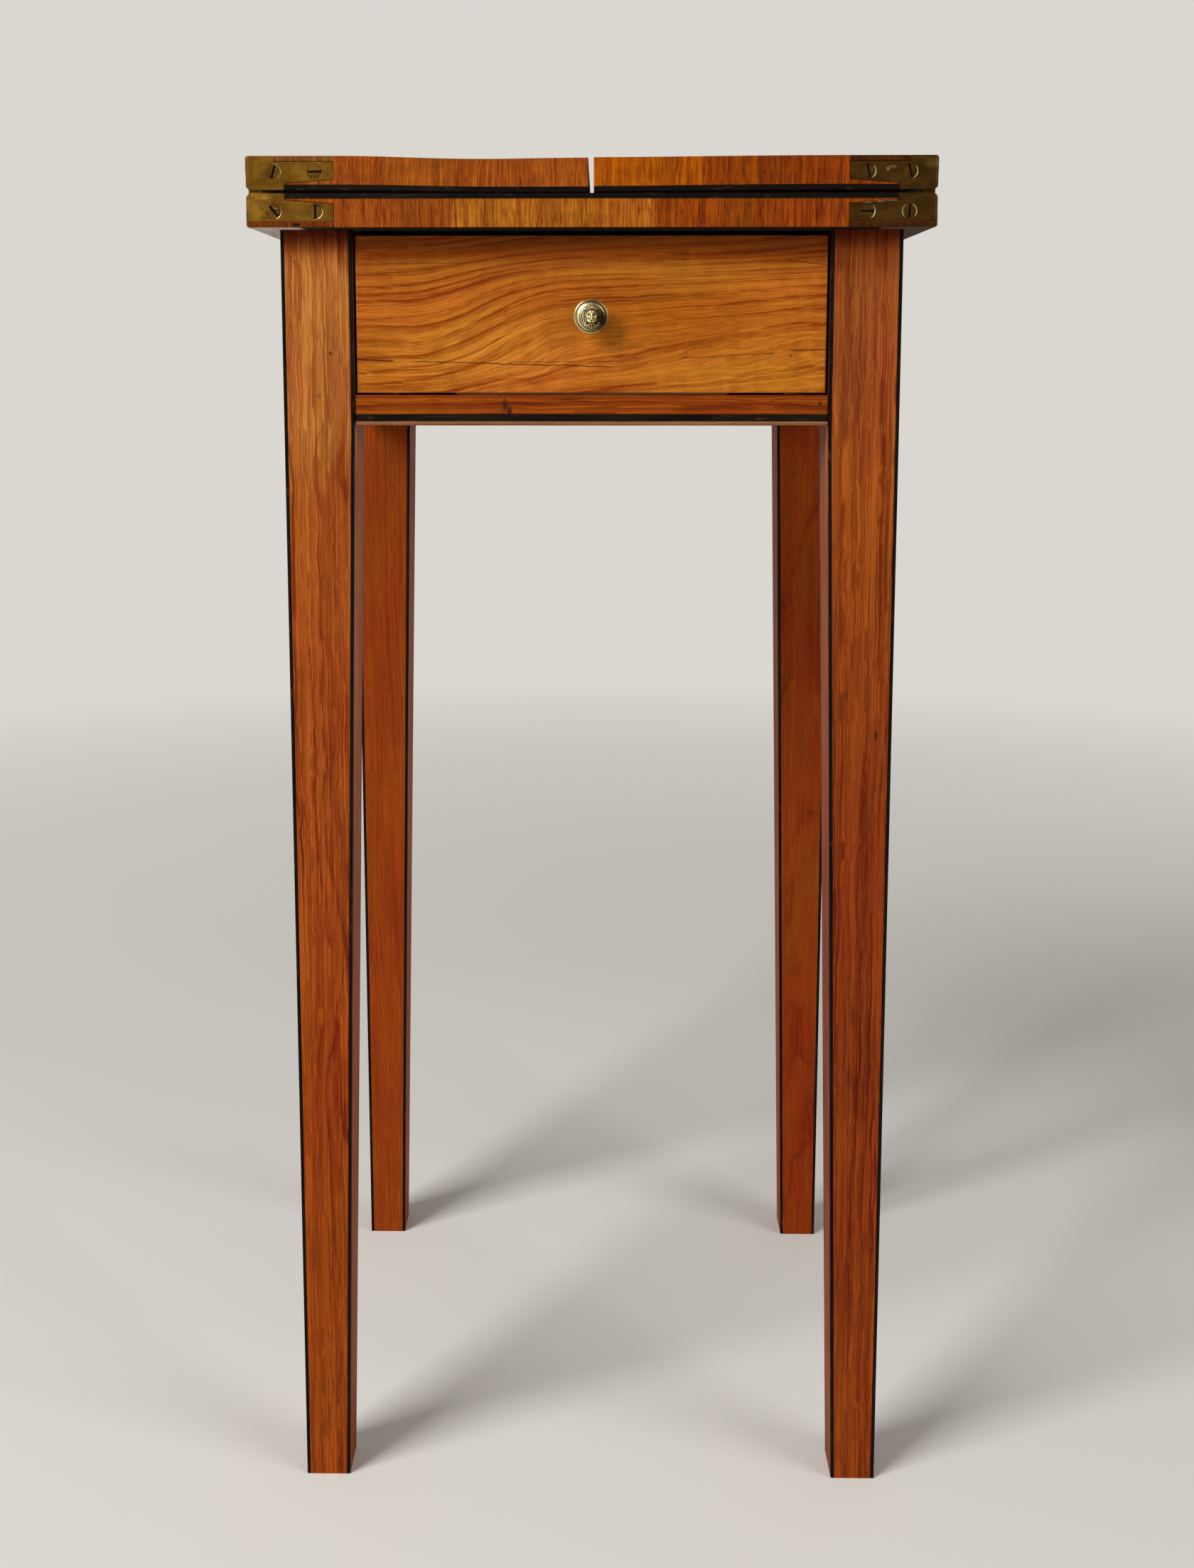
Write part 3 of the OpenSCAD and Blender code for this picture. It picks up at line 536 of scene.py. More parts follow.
def field_stain(tree, where, colour, height):
    """The top face: a dark line where the field meets the lipping, and the lipping's end grain."""
    axes = put(tree, "SeparateXYZ", {0: where}).outputs
    in_x = calc(tree, "SUBTRACT", calc(tree, "ABSOLUTE", axes["X"]), top_half_x - lip_t)
    in_y = calc(tree, "SUBTRACT", calc(tree, "ABSOLUTE", axes["Y"]), top_half_y - lip_t)
    rim = calc(tree, "MAXIMUM", in_x, in_y)
    line = between(tree, calc(tree, "ABSOLUTE", rim), 0.00025, 0.0001, 0, 0.8)
    colour = blend(tree, between(tree, rim, 0, 0.0001, 0, 0.7), colour, (0.13, 0.022, 0.002, 1))
    return blend(tree, line, colour, joint_brown), calc(tree, "MULTIPLY_ADD", line, -2, height)


def sag(side, upper, lower):
    """How a leaf sags between its hinge plates and its free end. Upper and lower are how far its two
    faces sink half-way and at the free end."""
    plate_reach = 0.047
    held_x = top_half_x - plate_reach
    cuts = 16
    low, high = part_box("leaf_left")

    def shaped(leaf):
        bpy.ops.object.mode_set(mode="EDIT")
        for number in range(cuts):
            bpy.ops.mesh.select_all(action="SELECT")
            bpy.ops.mesh.bisect(plane_co=(side * held_x * (1 - number / cuts), 0, 0), plane_no=(1, 0, 0))
        bpy.ops.object.mode_set(mode="OBJECT")
        for vertex in leaf.data.vertices:
            inward = max(0.0, 1 - abs(vertex.co.x) / held_x)
            share = min(1.0, max(0.0, (vertex.co.z - low[2]) / (high[2] - low[2])))
            middle = lower[0] + (upper[0] - lower[0]) * share
            end = lower[1] + (upper[1] - lower[1]) * share
            bow = math.sin(math.pi * inward) ** 2
            vertex.co.z -= (middle - end / 2) * bow + end * inward * inward * (3 - 2 * inward)
    return shaped


# Each board's light and dark wood, its place in the tree, its first tint, and its lengths of lipping
lippings = {
    "base_board": ((0.42, 0.110, 0.009), (0.135, 0.018, 0.001), (0.2, 0.1, 0.6), (0.9, 0.8, 0.7), [
        (-295.5, (0.9, 0.85, 0.8)), (-238.7, (1.2, 1.4, 1.4)), (-133.7, (0.85, 0.66, 0.3)),
        (-95.7, (0.78, 0.57, 0.3)), (-40.4, (0.75, 0.55, 0.3)), (-35.2, (0.8, 0.6, 0.3)),
        (20, (1, 1, 1)), (83, (0.9, 0.8, 0.6)), (150, (1.05, 1.1, 1)), (220, (0.9, 0.8, 0.7)),
        (290, (1, 1, 1))]),
    "leaf_left": ((0.39, 0.092, 0.007), (0.13, 0.017, 0.001), (0.7, 0.5, 0.1), (0.85, 0.85, 0.9), [
        (-295.5, (1, 1, 1)), (-213.7, (0.98, 0.97, 1)), (-150, (0.9, 0.8, 0.7)), (-80, (1, 1, 1)),
        (-10, (0.92, 0.85, 0.7)), (60, (1, 1, 1)), (130, (0.9, 0.85, 0.8))]),
    "leaf_right": ((0.38, 0.083, 0.004), (0.13, 0.016, 0.001), (0.1, 0.9, 0.4), (1.2, 1.2, 0.3), [
        (-106.7, (0.80, 0.66, 0.3)), (-35.2, (0.9, 0.75, 0.5)), (20, (1, 0.95, 0.7)),
        (90, (0.9, 0.8, 0.6)), (160, (1, 1, 0.8)), (230, (0.85, 0.72, 0.6)), (300, (1, 0.95, 0.8))]),
}
edge_slips = {
    "base_board": [(-182, 712, -133.5, 716.7, (0.55, 0.5, 0.4)),
                   (133.5, 712, 182, 716.7, (0.2, 0.25, 0.4))],
    "leaf_left": [(-182, 746.5, -133.5, 751, (0.75, 1.3, 2.2))],
    "leaf_right": [(133.5, 746.5, 182, 751, (0.25, 0.35, 0.6)),
                   (149, 736.5, 160, 742.5, (0.15, 0.12, 0.2))],
}
edge_chips = {
    "base_board": [(-153.4, 714.8, 3, 1.2, 0.9), (-158.5, 715, 0.8, 1.2, 0.6)],
    "leaf_left": [],
    "leaf_right": [(89.5, 741.5, 0.5, 1.5, 0.8)],
}
sags = {"leaf_left": sag(-1, (0.0016, 0.0011), (0.0009, 0.0011)),
        "leaf_right": sag(1, (0.0004, 0.0009), (0.0003, 0.0009))}

top_wood = polished("cherry_top", (0.44, 0.115, 0.010), (0.17, 0.028, 0.001), along_depth,
                    (0.15, 0.6, 0.2), ring_width=4.4, stain=field_stain, Pith=(0, 30, -70), Wander=9.0)
# Where the painted shadow along the front of the underside ends, across and in depth
painted_shade_x = (0.1530, 0.1505)
painted_shade_y = (-0.143, -0.148)


def underside_light_and_shade(tree, where, colour, height):
    """A painted pool of light at the left end, painted shade at the right end, and a painted shadow along
    the front over legs and drawer.
    """
    axes = put(tree, "SeparateXYZ", {0: where}).outputs
    # The left end is painted lit and the right end is painted in shade
    tints = [(0.06, (2.0, 2.5, 3.0)), (0.16, (1, 1, 1)), (0.84, (1, 1, 1)), (0.94, (0.34, 0.28, 0.24))]
    ends = ramp(tree, between(tree, axes["X"], -top_half_x, top_half_x), tints)
    colour = blend(tree, 1.0, colour, ends, "MULTIPLY")
    # A painted shadow along the front, over the legs and the drawer
    across = between(tree, calc(tree, "ABSOLUTE", axes["X"]), *painted_shade_x)
    front_shadow = calc(tree, "MULTIPLY", across, between(tree, axes["Y"], *painted_shade_y, 0, 0.95))
    return blend(tree, front_shadow, colour, (0.004, 0.001, 0.0005, 1)), height


underside = polished("underside_painted_light", (0.40, 0.335, 0.275), (0.23, 0.17, 0.12), along_depth,
                     (0.4, 0.2, 0.7), stain=underside_light_and_shade, bump=0.0001, dull=0.5, Pith=(0, 30, -70), Rings=0.5,
                     Streaks=0.4, Pores=0.8)
board_arris = 0.0004
joint_arris = 0.0003
for node, (light, dark, shift, first_tint, lengths) in lippings.items():
    board = worked(node, "lipped_" + node, board_arris, least=0.001, shaped=sags.get(node))
    string_name = "joint_side_string_of_" + node
    string = worked(node + "_string", string_name, joint_arris, shaped=sags.get(node))
    lay_string(string)
    board.data.materials.append(top_wood)
    marked = lipping_stain(first_tint, lengths, edge_slips[node], edge_chips[node])
    board.data.materials.append(polished(
        "lipping_" + node, light, dark, upright, shift, ring_width=3.6, stain=marked, Pith=(0, 60, -340),
        Wander=14.0, Rings=0.3, Streaks=0.6, Flecks=0.9, Figure=0.35, Pores=0.5))
    board.data.materials.append(underside if node == "base_board" else top_wood)
    for face in board.data.polygons:
        up = face.normal.z
        face.material_index = 0 if up > 0.7 else 2 if up < -0.97 else 1


# Hinges: cast and filed brass plates, let in flush at the front and back edges, with links between
# their knuckles. Years of handling have left a brown and green skin over the metal.
screw_low, screw_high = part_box("leaf_screws_left")
head_r = (screw_high[2] - screw_low[2]) / 2
dirt_depth = (0.00003, 0.00014)
# An arc round one side of a screw head, on which painted glints and painted shadows are drawn
screw_rim, given, result = shader_group(
    "screw_rim", {"Vector": "Vector", "Middle": "Vector", "Toward": "Vector"}, {"Mask": "Float"})
around = vector_calc(screw_rim, "SUBTRACT", given["Vector"], given["Middle"])
around = vector_calc(screw_rim, "MULTIPLY", around, (1 / head_r, 0, 1 / head_r))
from_rim = calc(screw_rim, "SUBTRACT", vector_calc(screw_rim, "LENGTH", around), 1.02)
from_rim = calc(screw_rim, "ABSOLUTE", from_rim)
facing = put(screw_rim, "VectorMath", {0: around, 1: given["Toward"]}, operation="DOT_PRODUCT")
on_side = between(screw_rim, facing.outputs["Value"], 0.45, 0.9)
arc = calc(screw_rim, "MULTIPLY", between(screw_rim, from_rim, 0.085, 0.035), on_side)
screw_rim.links.new(arc, result["Mask"])


def brass_finish(name, metal, skin, dull, hollow=None, face_y=edge_y, depth=0.003, marks=(), rim_glints_and_shadows=(),
                 seam_x=None, share=0.93):
    """Brass under its patina: bright metal where it is rubbed, dull brown skin where it isn't. Hollow
    names an attribute that is 1 in hollows, where dirt stays. Marks are spots on the face at face_y,
    each with its tint. Rims are arcs round the screws, painted glints and painted shadow crescents: a
    screw's middle, the side the arc is on, its strength and its tint. Dirt fills what lies below the
    faces of the table's edges, such as slots and seams, out to seam_x from the middle. Share is how
    much of it looks like bare metal."""
    material, tree, shader, where = fresh_material(name)
    cloud = blotches(tree, where, (0.010, 0.010, 0.006), 6)
    smoke = blotches(tree, where, (0.003, 0.003, 0.002), 4)
    specks = between(tree, blotches(tree, where, (0.0008, 0.0008, 0.0006), 2), 0.62, 0.74, 0, 0.4)
    scratches = between(tree, blotches(tree, where, (0.008, 0.003, 0.00016), 2), 0.58, 0.72, 0, 0.3)
    colour = blend(tree, between(tree, cloud, 0.66, 0.36), (*metal, 1), (*skin, 1))
    colour = blend(tree, between(tree, smoke, 0.55, 0.7, 0, 0.45), colour, (*[c * 0.45 for c in skin], 1))
    colour = blend(tree, scratches, colour, (*metal, 1))
    colour = blend(tree, specks, colour, (0.02, 0.011, 0.004, 1))
    for *mark, tint in marks:
        colour = spotted(tree, where, colour, face_y, [mark], tint, depth)
    dirt = 0.0
    if hollow:
        dirt = put(tree, "Attribute", attribute_name=hollow).outputs["Fac"]
    if seam_x:
        axes = put(tree, "SeparateXYZ", {0: where}).outputs
        sunk = calc(tree, "SUBTRACT", top_half_y, calc(tree, "ABSOLUTE", axes["Y"]))
        sunk = between(tree, sunk, *dirt_depth)
        inboard = between(tree, calc(tree, "ABSOLUTE", axes["X"]), seam_x, seam_x - 0.0003)
        dirt = calc(tree, "MULTIPLY", sunk, inboard)
    colour = blend(tree, dirt, colour, (0.014, 0.006, 0.002, 1))
    # The painted glints and painted shadow crescents round the screw heads
    for x, z, toward, strength, tint in rim_glints_and_shadows:
        sockets = {"Vector": where, "Middle": (x, 0, z), "Toward": (toward[0], 0, toward[1])}
        arc = put(tree, "Group", sockets, node_tree=screw_rim).outputs["Mask"]
        colour = blend(tree, calc(tree, "MULTIPLY", arc, strength), colour, (*tint, 1))
    tree.links.new(colour, shader.inputs["Base Color"])
    shader.inputs["Metallic"].default_value = share
    roughness = between(tree, smoke, 0.35, 0.65, dull - 0.1, dull + 0.06)
    tree.links.new(roughness, shader.inputs["Roughness"])
    hammer = blotches(tree, where, (0.0035, 0.0035, 0.0035), 5)
    relief = put(tree, "Bump", {"Height": hammer, "Distance": 0.00018})
    tree.links.new(relief.outputs[0], shader.inputs["Normal"])
    return material


seam_x = top_half_x - 0.0016
# Each mark is its middle in X and Z, its reach along them, its strength and its tint
plate_marks = {
    "left": [(-174.5, 721.5, 4.2, 6.2, 0.5, (0.34, 0.18, 0.018)),
             (-170, 728.5, 4.5, 1.6, 0.5, (0.36, 0.20, 0.04)),
             (-165, 726.2, 1.6, 1, 0.6, (0.06, 0.022, 0.006)),
             (-171.2, 718.5, 2.2, 0.7, 0.5, (0.07, 0.03, 0.004)),
             (-172.2, 724.3, 0.9, 1.6, 0.5, (0.07, 0.03, 0.004)),
             (-170, 740, 3, 3, 0.4, (0.085, 0.032, 0.006))],
    "right": [(153.5, 743.2, 1.2, 1.4, 0.5, (0.36, 0.26, 0.10)),
              (156, 744.2, 2.6, 0.9, 0.4, (0.30, 0.20, 0.07)),
              (176, 745.8, 4.5, 3, 0.3, (0.22, 0.13, 0.04)),
              (142.5, 726.2, 4, 0.4, 0.8, (0.50, 0.40, 0.22)),
              (149, 726.7, 4, 0.4, 0.8, (0.50, 0.40, 0.22)),
              (155, 727.2, 3.5, 0.4, 0.8, (0.50, 0.40, 0.22)),
              (170, 725, 6, 3, 0.4, (0.035, 0.015, 0.003))],
}
screw_marks = {
    "left": [(-164.7, 722.2, 1.8, 0.6, 0.8, (0.03, 0.012, 0.004)),
             (-162.2, 720.8, 0.7, 1.4, 0.8, (0.05, 0.02, 0.006)),
             (-164, 723.2, 1.2, 0.5, 0.6, (0.42, 0.27, 0.13))],
    "right": [],
}
# Painted glints on the lit side of the screw heads, and painted shadow crescents on their other side
painted_glint = (0.56, 0.44, 0.25)
painted_rim_shadow = (0.016, 0.008, 0.003)
outer_x = -screw_low[0] - head_r
inner_x = head_r - screw_high[0]
upper_z = screw_low[2] + head_r
lower_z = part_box("base_plate_screws")[0][2] + head_r
# Painted glints and painted shadow crescents round the screws: each is a screw's middle, the side it lies
# on, its strength and its tint
rim_glints_and_shadows = {
    "left": [(-outer_x, upper_z, (0.8, 0.6), 0.55, painted_glint), (-inner_x, upper_z, (-1, -0.2), 0.9, painted_rim_shadow),
             (-outer_x, lower_z, (0.9, -0.4), 0.5, painted_glint), (-outer_x, lower_z, (-0.8, -0.6), 0.9, painted_rim_shadow),
             (-inner_x, lower_z, (0.9, -0.4), 0.75, painted_glint), (-inner_x, lower_z, (0.3, 0.95), 0.8, painted_rim_shadow)],
    "right": [(inner_x, upper_z, (1, -0.1), 0.75, painted_glint), (inner_x, upper_z, (-0.1, 1), 0.8, painted_rim_shadow),
              (outer_x, upper_z, (1, -0.2), 0.75, painted_glint), (outer_x, upper_z, (-0.7, 0.7), 0.8, painted_rim_shadow),
              (inner_x, lower_z, (1, -0.15), 0.8, painted_glint), (outer_x, lower_z, (-1, 0.1), 0.7, painted_glint),
              (outer_x, lower_z, (1, 0.3), 0.7, painted_glint)],
}
# Bright metal, skin and dullness
plate_tones = {"left": ((0.205, 0.098, 0.010), (0.125, 0.053, 0.003), 0.46),
               "right": ((0.076, 0.034, 0.004), (0.040, 0.016, 0.001), 0.44)}
screw_tones = {"left": ((0.19, 0.095, 0.014), (0.09, 0.039, 0.004), 0.42),
               "right": ((0.10, 0.048, 0.008), (0.048, 0.020, 0.002), 0.40)}
plate_brass, screw_brass, link_brass = {}, {}, {}
for side in ("left", "right"):
    plate_brass[side] = brass_finish("aged_brass_" + side, *plate_tones[side], marks=plate_marks[side],
                                     rim_glints_and_shadows=rim_glints_and_shadows[side], seam_x=seam_x)
    screw_brass[side] = brass_finish("screw_brass_" + side, *screw_tones[side], marks=screw_marks[side],
                                     rim_glints_and_shadows=rim_glints_and_shadows[side], seam_x=seam_x)
    link_brass[side] = brass_finish("link_brass_" + side, *plate_tones[side])


def left_and_right(piece, brass):
    """The left finish on the left half of a piece, and the right one on its right half."""
    piece.data.materials.append(brass["left"])
    piece.data.materials.append(brass["right"])
    for face in piece.data.polygons:
        face.material_index = 1 if face.center.x > 0 else 0


plate_arris = 0.00028
screw_arris = 0.00022
pin_arris = 0.0001
for corner in legs:
    side = corner.split("_")[1]
    for layer in ("base", "leaf"):
        node = layer + "_plate_" + corner
        plate = worked(node, "filed_" + node, plate_arris, least=0.0002)
        plate.data.materials.append(plate_brass[side])
    clad(["link_" + corner], link_brass[side])
for node in ("base_plate_screws", "leaf_screws_left", "leaf_screws_right"):
    screws = worked(node, "slotted_" + node, screw_arris, least=0.0003)
    left_and_right(screws, screw_brass)
for node in ("base_pins", "leaf_pins_left", "leaf_pins_right"):
    pins = worked(node, "riveted_" + node, pin_arris)
    left_and_right(pins, plate_brass)


# Drawer: a front of figured cherry, whose figure sweeps up across it and which has dried and cracked
# along its grain, and dovetailed oak sides, back and bottom.
front_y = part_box("drawer_front")[0][1]
sweep_x = (-0.098, -0.014)
sweep_rise = 0.026
sweep_foot_z = (0.630, 0.666)
sweep_top_z = (0.676, 0.708)
slope_x = (-0.03, 0.126)
slope_rise = 0.012
# Heights on the drawer front where the painted shadow under the top's overhang begins and where it is full
shaded_z = (0.6945, 0.7005)
front_arris = 0.0009
drawer_arris = 0.0002


def swept(tree, where):
    """Coordinates in which the swept grain of the drawer front lies level. The sweep is strongest half
    way up the front, and a gentle slope goes on beyond it."""
    axes = put(tree, "SeparateXYZ", {0: where}).outputs
    climb = between(tree, axes["X"], *sweep_x, 0, sweep_rise, "SMOOTHSTEP")
    upper = between(tree, axes["Z"], *sweep_top_z, 1, 0.3, "SMOOTHSTEP")
    lower = between(tree, axes["Z"], *sweep_foot_z, 0.45, 1, "SMOOTHSTEP")
    climb = calc(tree, "MULTIPLY", climb, calc(tree, "MINIMUM", upper, lower))
    slope = between(tree, axes["X"], *slope_x, 0, slope_rise)
    level = calc(tree, "SUBTRACT", axes["Z"], calc(tree, "ADD", climb, slope))
    return put(tree, "CombineXYZ", {"X": axes["X"], "Y": axes["Y"], "Z": level}).outputs[0]


# Each crack is its two ends in X and Z, in millimetres, half its width, and how black it is
front_cracks = [
    ((-125.5, 645.4), (-105.5, 644.3), 0.24, 1.0),
    ((-96.1, 644.3), (14.2, 641.3), 0.19, 0.9),
    ((-41.9, 643.9), (22.1, 644.3), 0.13, 0.6),
    ((46.6, 645.8), (99.7, 648.8), 0.15, 0.75),
    ((105.7, 650.1), (125.7, 650.5), 0.20, 0.95),
    ((-125.9, 695.6), (-64.1, 696.1), 0.14, 0.6),
    ((103.5, 697.4), (125.7, 695.1), 0.17, 0.75),
]
# A paler or darker place is its middle in X and Z, its reach along X, Y and Z, and its tint
front_tones = [(-0.047, 0.648, (0.062, 0.05, 0.024), (1.25, 1.5, 1.8)),
               (0.085, 0.635, (0.075, 0.05, 0.014), (1.15, 1.3, 1.3)),
               (0.045, 0.668, (0.06, 0.05, 0.02), (0.88, 0.8, 0.5))]
front_dots = [(106.5, 647.3, 0.9, 0.7, 0.8)]


def crack_line(tree, across, up, first, last, half_w, strength):
    """How black a crack is at a place across and up. It tapers at both ends."""
    run = between(tree, across, first[0] / 1000, last[0] / 1000)
    crack_z = between(tree, run, 0, 1, first[1] / 1000, last[1] / 1000)
    off = calc(tree, "ABSOLUTE", calc(tree, "SUBTRACT", up, crack_z))
    taper = calc(tree, "MINIMUM", between(tree, run, 0, 0.05), between(tree, run, 1, 0.95))
    return calc(tree, "MULTIPLY", between(tree, off, half_w / 600, half_w / 2500, 0, strength), taper)


def front_stain(tree, where, colour, height):
    """The cracks, dots and worn places in the drawer front's face, and a painted shadow along its top under
    the overhang.
    """
    axes = put(tree, "SeparateXYZ", {0: where}).outputs
    waver = swing(tree, blotches(tree, where, (0.005, 0.005, 0.005), 3), 0.0006)
    wavering_z = calc(tree, "ADD", axes["Z"], waver)
    black = 0.0
    for crack in front_cracks:
        black = calc(tree, "MAXIMUM", crack_line(tree, axes["X"], wavering_z, *crack), black)
    black = calc(tree, "MULTIPLY", black, between(tree, axes["Y"], front_y + 0.0012, front_y + 0.001))
    for x, z, reach, tint in front_tones:
        off = vector_calc(tree, "SUBTRACT", where, (x, front_y, z))
        off = vector_calc(tree, "LENGTH", vector_calc(tree, "DIVIDE", off, reach))
        near = between(tree, off, 1.2, 0.1, course="SMOOTHSTEP")
        colour = blend(tree, near, colour, blend(tree, 1.0, colour, (*tint, 1), "MULTIPLY"))
    # A painted shadow along the top of the front, under the overhang of the top
    shade = between(tree, axes["Z"], *shaded_z, course="SMOOTHSTEP")
    colour = blend(tree, shade, colour, blend(tree, 1.0, colour, (0.80, 0.58, 0.40, 1), "MULTIPLY"))
    colour = spotted(tree, where, colour, front_y, front_dots)
    colour = blend(tree, black, colour, (0.015, 0.004, 0.001, 1))
    return colour, calc(tree, "MULTIPLY_ADD", black, -5, height)


front = worked("drawer_front", "figured_drawer_front", front_arris, least=0.02, segments=3)
front.data.materials.append(polished(
    "figured_cherry", (0.49, 0.148, 0.013), (0.22, 0.036, 0.001), ring_width=4.4, bend=swept,
    stain=front_stain, Pith=(0, -40, 560), Wander=9.0, Rings=1.1, Streaks=0.65, Flecks=0.6, Figure=0.18))
for node in ("drawer_side_left", "drawer_side_right", "drawer_back", "drawer_bottom"):
    board = worked(node, "oak_" + node, drawer_arris, least=0.003)
    board.data.materials.append(oak)
clad(["knob_bolt", "knob_nut"], plate_brass["right"])


# Knob: cast brass with a lion's mask in relief inside a round bead. It was gilt once, and is dark in
# its hollows now. The mask is spun as a plain dome and then raised. Its sizes are millimetres.
knob_low, knob_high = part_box("knob")
knob_x = (knob_low[0] + knob_high[0]) / 2
knob_z = (knob_low[2] + knob_high[2]) / 2
seat_y = knob_high[1]
dome_r = 7.75
groove_r = 7.85
dome_rise = 2.0
rim_y = 9.2
mask_r = 6.7
mask_middle = (0.4, -0.5)
lock_rise = 1.6
lock_half_w = 0.44
mane_depth = 0.6
dome_rings = 72
spin_steps = 168


def swell(place, low, high):
    """Rises smoothly from 0 at low to 1 at high."""
    share = min(1.0, max(0.0, (place - low) / (high - low)))
    return share * share * (3 - 2 * share)


def from_line(u, v, first, last):
    """Distance from a point to the line between two others."""
    along_u, along_v = last[0] - first[0], last[1] - first[1]
    share = ((u - first[0]) * along_u + (v - first[1]) * along_v) / (along_u ** 2 + along_v ** 2)
    share = min(1.0, max(0.0, share))
    return math.hypot(u - first[0] - share * along_u, v - first[1] - share * along_v)


# The locks of the mane, each a bent ridge through its points, out from the middle line on both sides
locks = [
    [(0.45, 6.1), (0.15, 4.7)], [(1.5, 5.9), (0.95, 4.5)], [(2.6, 5.4), (1.75, 4.2)],
    [(3.7, 4.7), (2.6, 3.7)], [(3.1, 4.5), (4.7, 3.9), (5.35, 2.4)], [(4.0, 3.1), (4.75, 1.9), (4.85, 0.8)],
    [(5.6, 2.0), (5.9, 0.8), (5.6, -0.3)], [(4.3, 0.9), (4.75, -0.5), (4.3, -1.9)],
    [(5.6, 0.1), (5.6, -1.3), (5.1, -2.6)], [(4.4, -1.4), (4.1, -2.7), (3.3, -3.8)],
    [(5.2, -2.1), (4.6, -3.4), (3.7, -4.5)], [(3.3, -2.9), (2.6, -4.1), (1.7, -5.1)],
    [(3.6, -4.0), (2.8, -5.0), (2.2, -5.7)], [(1.7, -3.9), (1.1, -5.0), (0.9, -6.1)],
    [(0.0, -4.4), (0.15, -5.9)],
]
# The face: half breadth from the middle, height on the face, reach across and up, and rise
features = [
    (0.0, 0.6, 0.62, 2.1, 1.15), (1.55, 2.15, 1.05, 0.38, 0.85), (0.0, -1.2, 1.0, 0.5, 0.8),
    (1.45, 1.2, 0.6, 0.45, -1.0), (1.42, 1.14, 0.28, 0.18, 0.5), (0.62, -1.7, 0.28, 0.2, -0.7),
    (1.0, -2.4, 0.85, 0.6, 1.15), (0.0, -2.35, 0.15, 0.6, -0.9), (0.95, -3.12, 0.95, 0.2, -1.0),
    (0.0, -3.05, 0.5, 0.2, -0.6), (0.0, -3.65, 0.6, 0.36, 0.6), (2.35, -0.1, 0.45, 1.2, 0.6),
    (1.5, -0.9, 0.45, 0.7, -0.3), (0.0, 3.1, 0.22, 0.9, -0.5), (0.65, 3.2, 0.4, 0.7, 0.35),
]


def lion_mask(u, v):
    """Height of the mask in millimetres, u to the right of its middle and v above it."""
    side = abs(u)
    edge = swell(mask_r - math.hypot(u, v), 0, 0.6)
    mane = -mane_depth
    for points in locks:
        off = min(from_line(side, v, *pair) for pair in zip(points, points[1:]))
        mane = max(mane, lock_rise * math.exp(-(off / lock_half_w) ** 2) - mane_depth)
    skull = 1 - (side / (2.95 + 0.15 * v)) ** 2 - ((v + 0.15) / 4.2) ** 2
    height = max(mane * edge, 1.4 * math.sqrt(skull) - 0.4) if skull > 0 else mane * edge
    if skull > -0.1:
        for across, up, reach_u, reach_v, rise in features:
            height += rise * math.exp(-((side - across) / reach_u) ** 2 - ((v - up) / reach_v) ** 2)
    return height


# Half section from the socket of the shank to the rim, and then the plain dome to its middle
section = [(0, 5.6), (2.25, 5.6), (2.25, 0), (5.6, 0), (6.1, 0.25), (6.2, 0.7), (5.9, 1.1), (5.1, 1.3),
           (4.4, 2.2), (3.8, 3.6), (3.6, 4.9), (3.9, 5.7), (5.2, 6.7), (7.0, 7.6), (7.9, 8.0)]
section += [(8.56 + 0.64 * math.sin(math.radians(a)), rim_y - 0.1 - 0.64 * math.cos(math.radians(a)))
            for a in range(15, 211, 15)]
section += [(groove_r, rim_y - 0.05)]
inward = [1 - number / dome_rings for number in range(dome_rings + 1)]
section += [(dome_r * share, rim_y + dome_rise * math.sqrt(1 - share ** 2)) for share in inward]
bpy.ops.object.select_all(action="DESELECT")
bpy.ops.mesh.primitive_plane_add(size=0.001, location=(0, 0, 0))
knob = bpy.context.object
knob.name = "lion_mask_knob"
bpy.ops.object.mode_set(mode="EDIT")
bpy.ops.mesh.merge(type="CENTER")
bpy.ops.transform.translate(value=(knob_x + section[0][0] / 1000, seat_y - section[0][1] / 1000, knob_z))
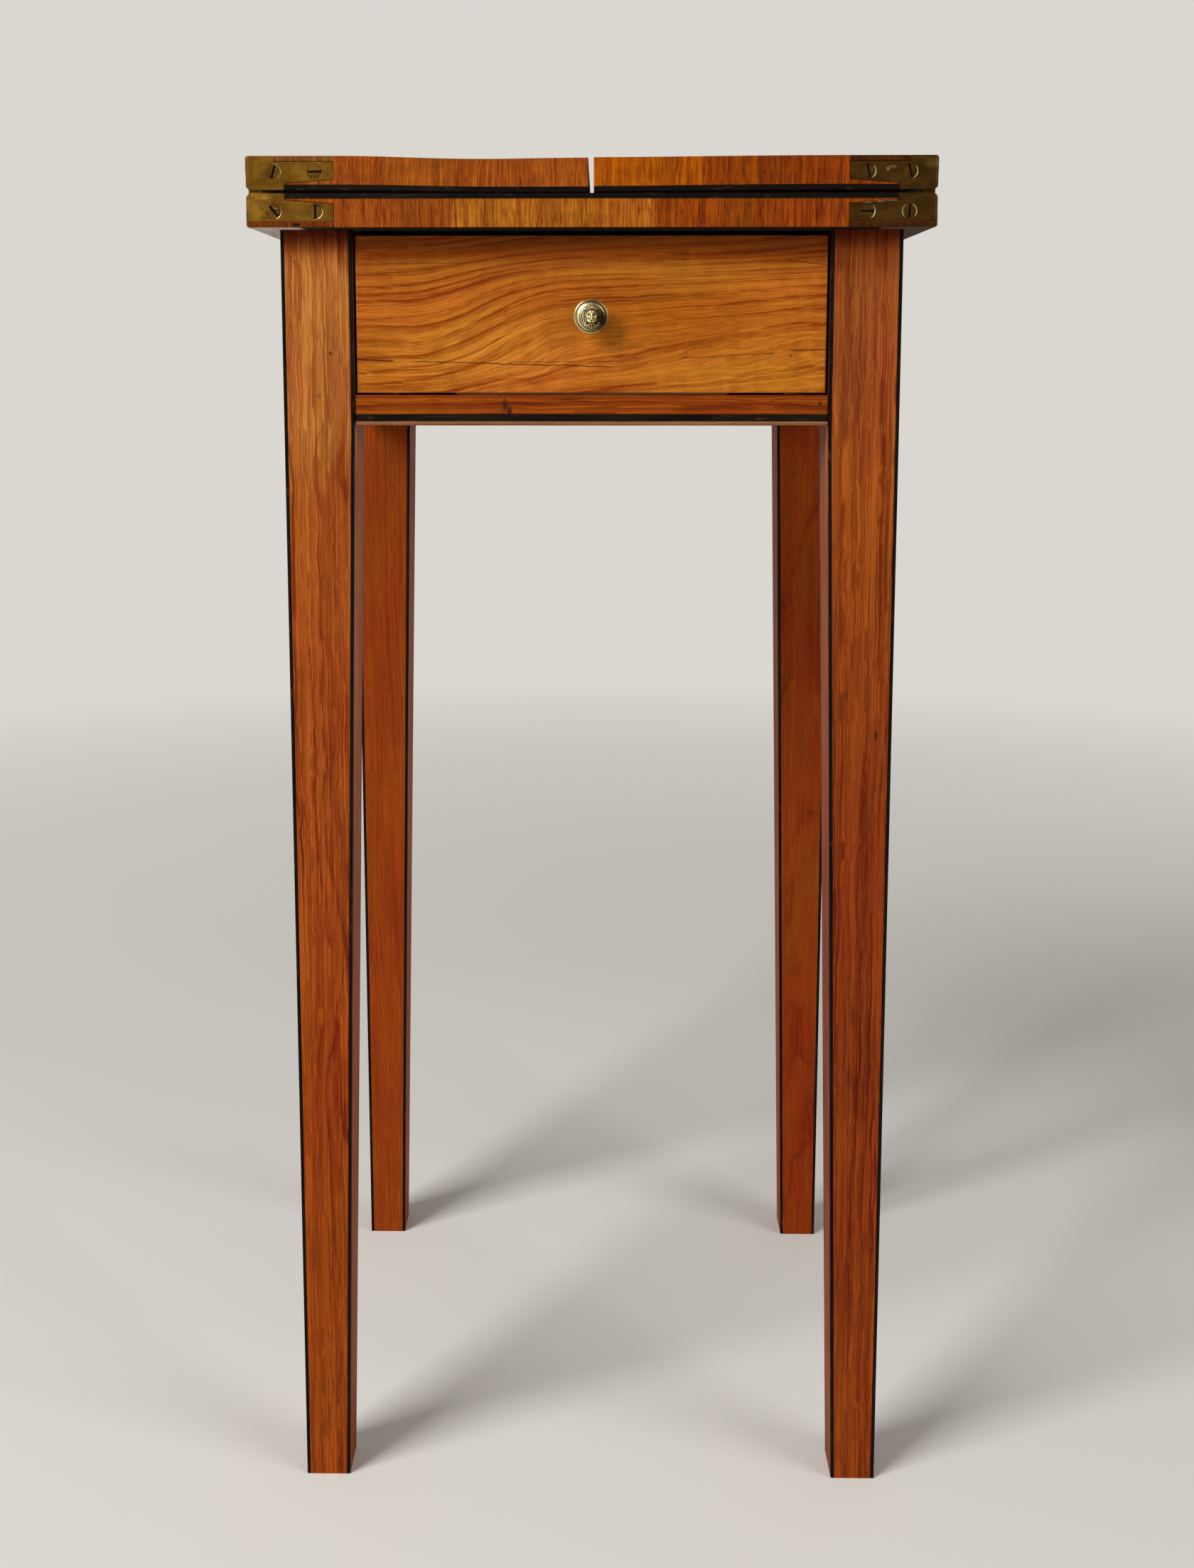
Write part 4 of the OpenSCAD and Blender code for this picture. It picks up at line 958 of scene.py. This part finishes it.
for (r, out), (next_r, next_out) in zip(section, section[1:]):
    step = ((next_r - r) / 1000, (out - next_out) / 1000, 0)
    bpy.ops.mesh.extrude_vertices_move(TRANSFORM_OT_translate={"value": step})
bpy.ops.mesh.select_all(action="SELECT")
bpy.ops.mesh.spin(steps=spin_steps, angle=2 * math.pi, center=(knob_x, seat_y, knob_z), axis=(0, 1, 0))
bpy.ops.mesh.select_all(action="SELECT")
bpy.ops.mesh.remove_doubles(threshold=2e-6)
bpy.ops.mesh.normals_make_consistent(inside=False)
bpy.ops.object.mode_set(mode="OBJECT")
bpy.ops.object.transform_apply(location=True, rotation=True, scale=True)
hollow = knob.data.attributes.new("hollow", "FLOAT", "POINT")
probe = 0.35
for number, vertex in enumerate(knob.data.vertices):
    u = (vertex.co.x - knob_x) * 1000
    v = (vertex.co.z - knob_z) * 1000
    out = (seat_y - vertex.co.y) * 1000
    r = math.hypot(u, v)
    if out > rim_y + 0.2:
        u, v = u - mask_middle[0], v - mask_middle[1]
        height = lion_mask(u, v)
        round_it = [lion_mask(u + probe * math.cos(a), v + probe * math.sin(a)) for a in range(6)]
        hollow.data[number].value = min(1.0, max(0.0, (sum(round_it) / len(round_it) - height) * 6))
        vertex.co.y -= height / 1000
    elif out > rim_y - 0.7:
        hollow.data[number].value = swell(0.42 - abs(r - groove_r), 0, 0.3)
bpy.ops.object.shade_smooth()
middle_x, middle_z = knob_x * 1000, knob_z * 1000
# Painted shade over the right side of the mask, a darker patch along its top, and a painted highlight over
# its left side
knob_painted_light_and_shade = [(middle_x + 6, middle_z - 1.2, 4.2, 9, 1.0, (0.04, 0.02, 0.006)),
           (middle_x + 1.5, middle_z + 7.6, 6, 2.6, 0.8, (0.12, 0.07, 0.02)),
           (middle_x - 3.5, middle_z + 0.8, 6, 7.5, 0.9, (0.92, 0.82, 0.48))]
knob.data.materials.append(brass_finish(
    "knob_brass", (0.62, 0.48, 0.20), (0.36, 0.25, 0.08), 0.30, hollow="hollow", face_y=-0.16, depth=0.02,
    marks=knob_painted_light_and_shade, share=0.75))
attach(knob, "drawer")
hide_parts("knob")
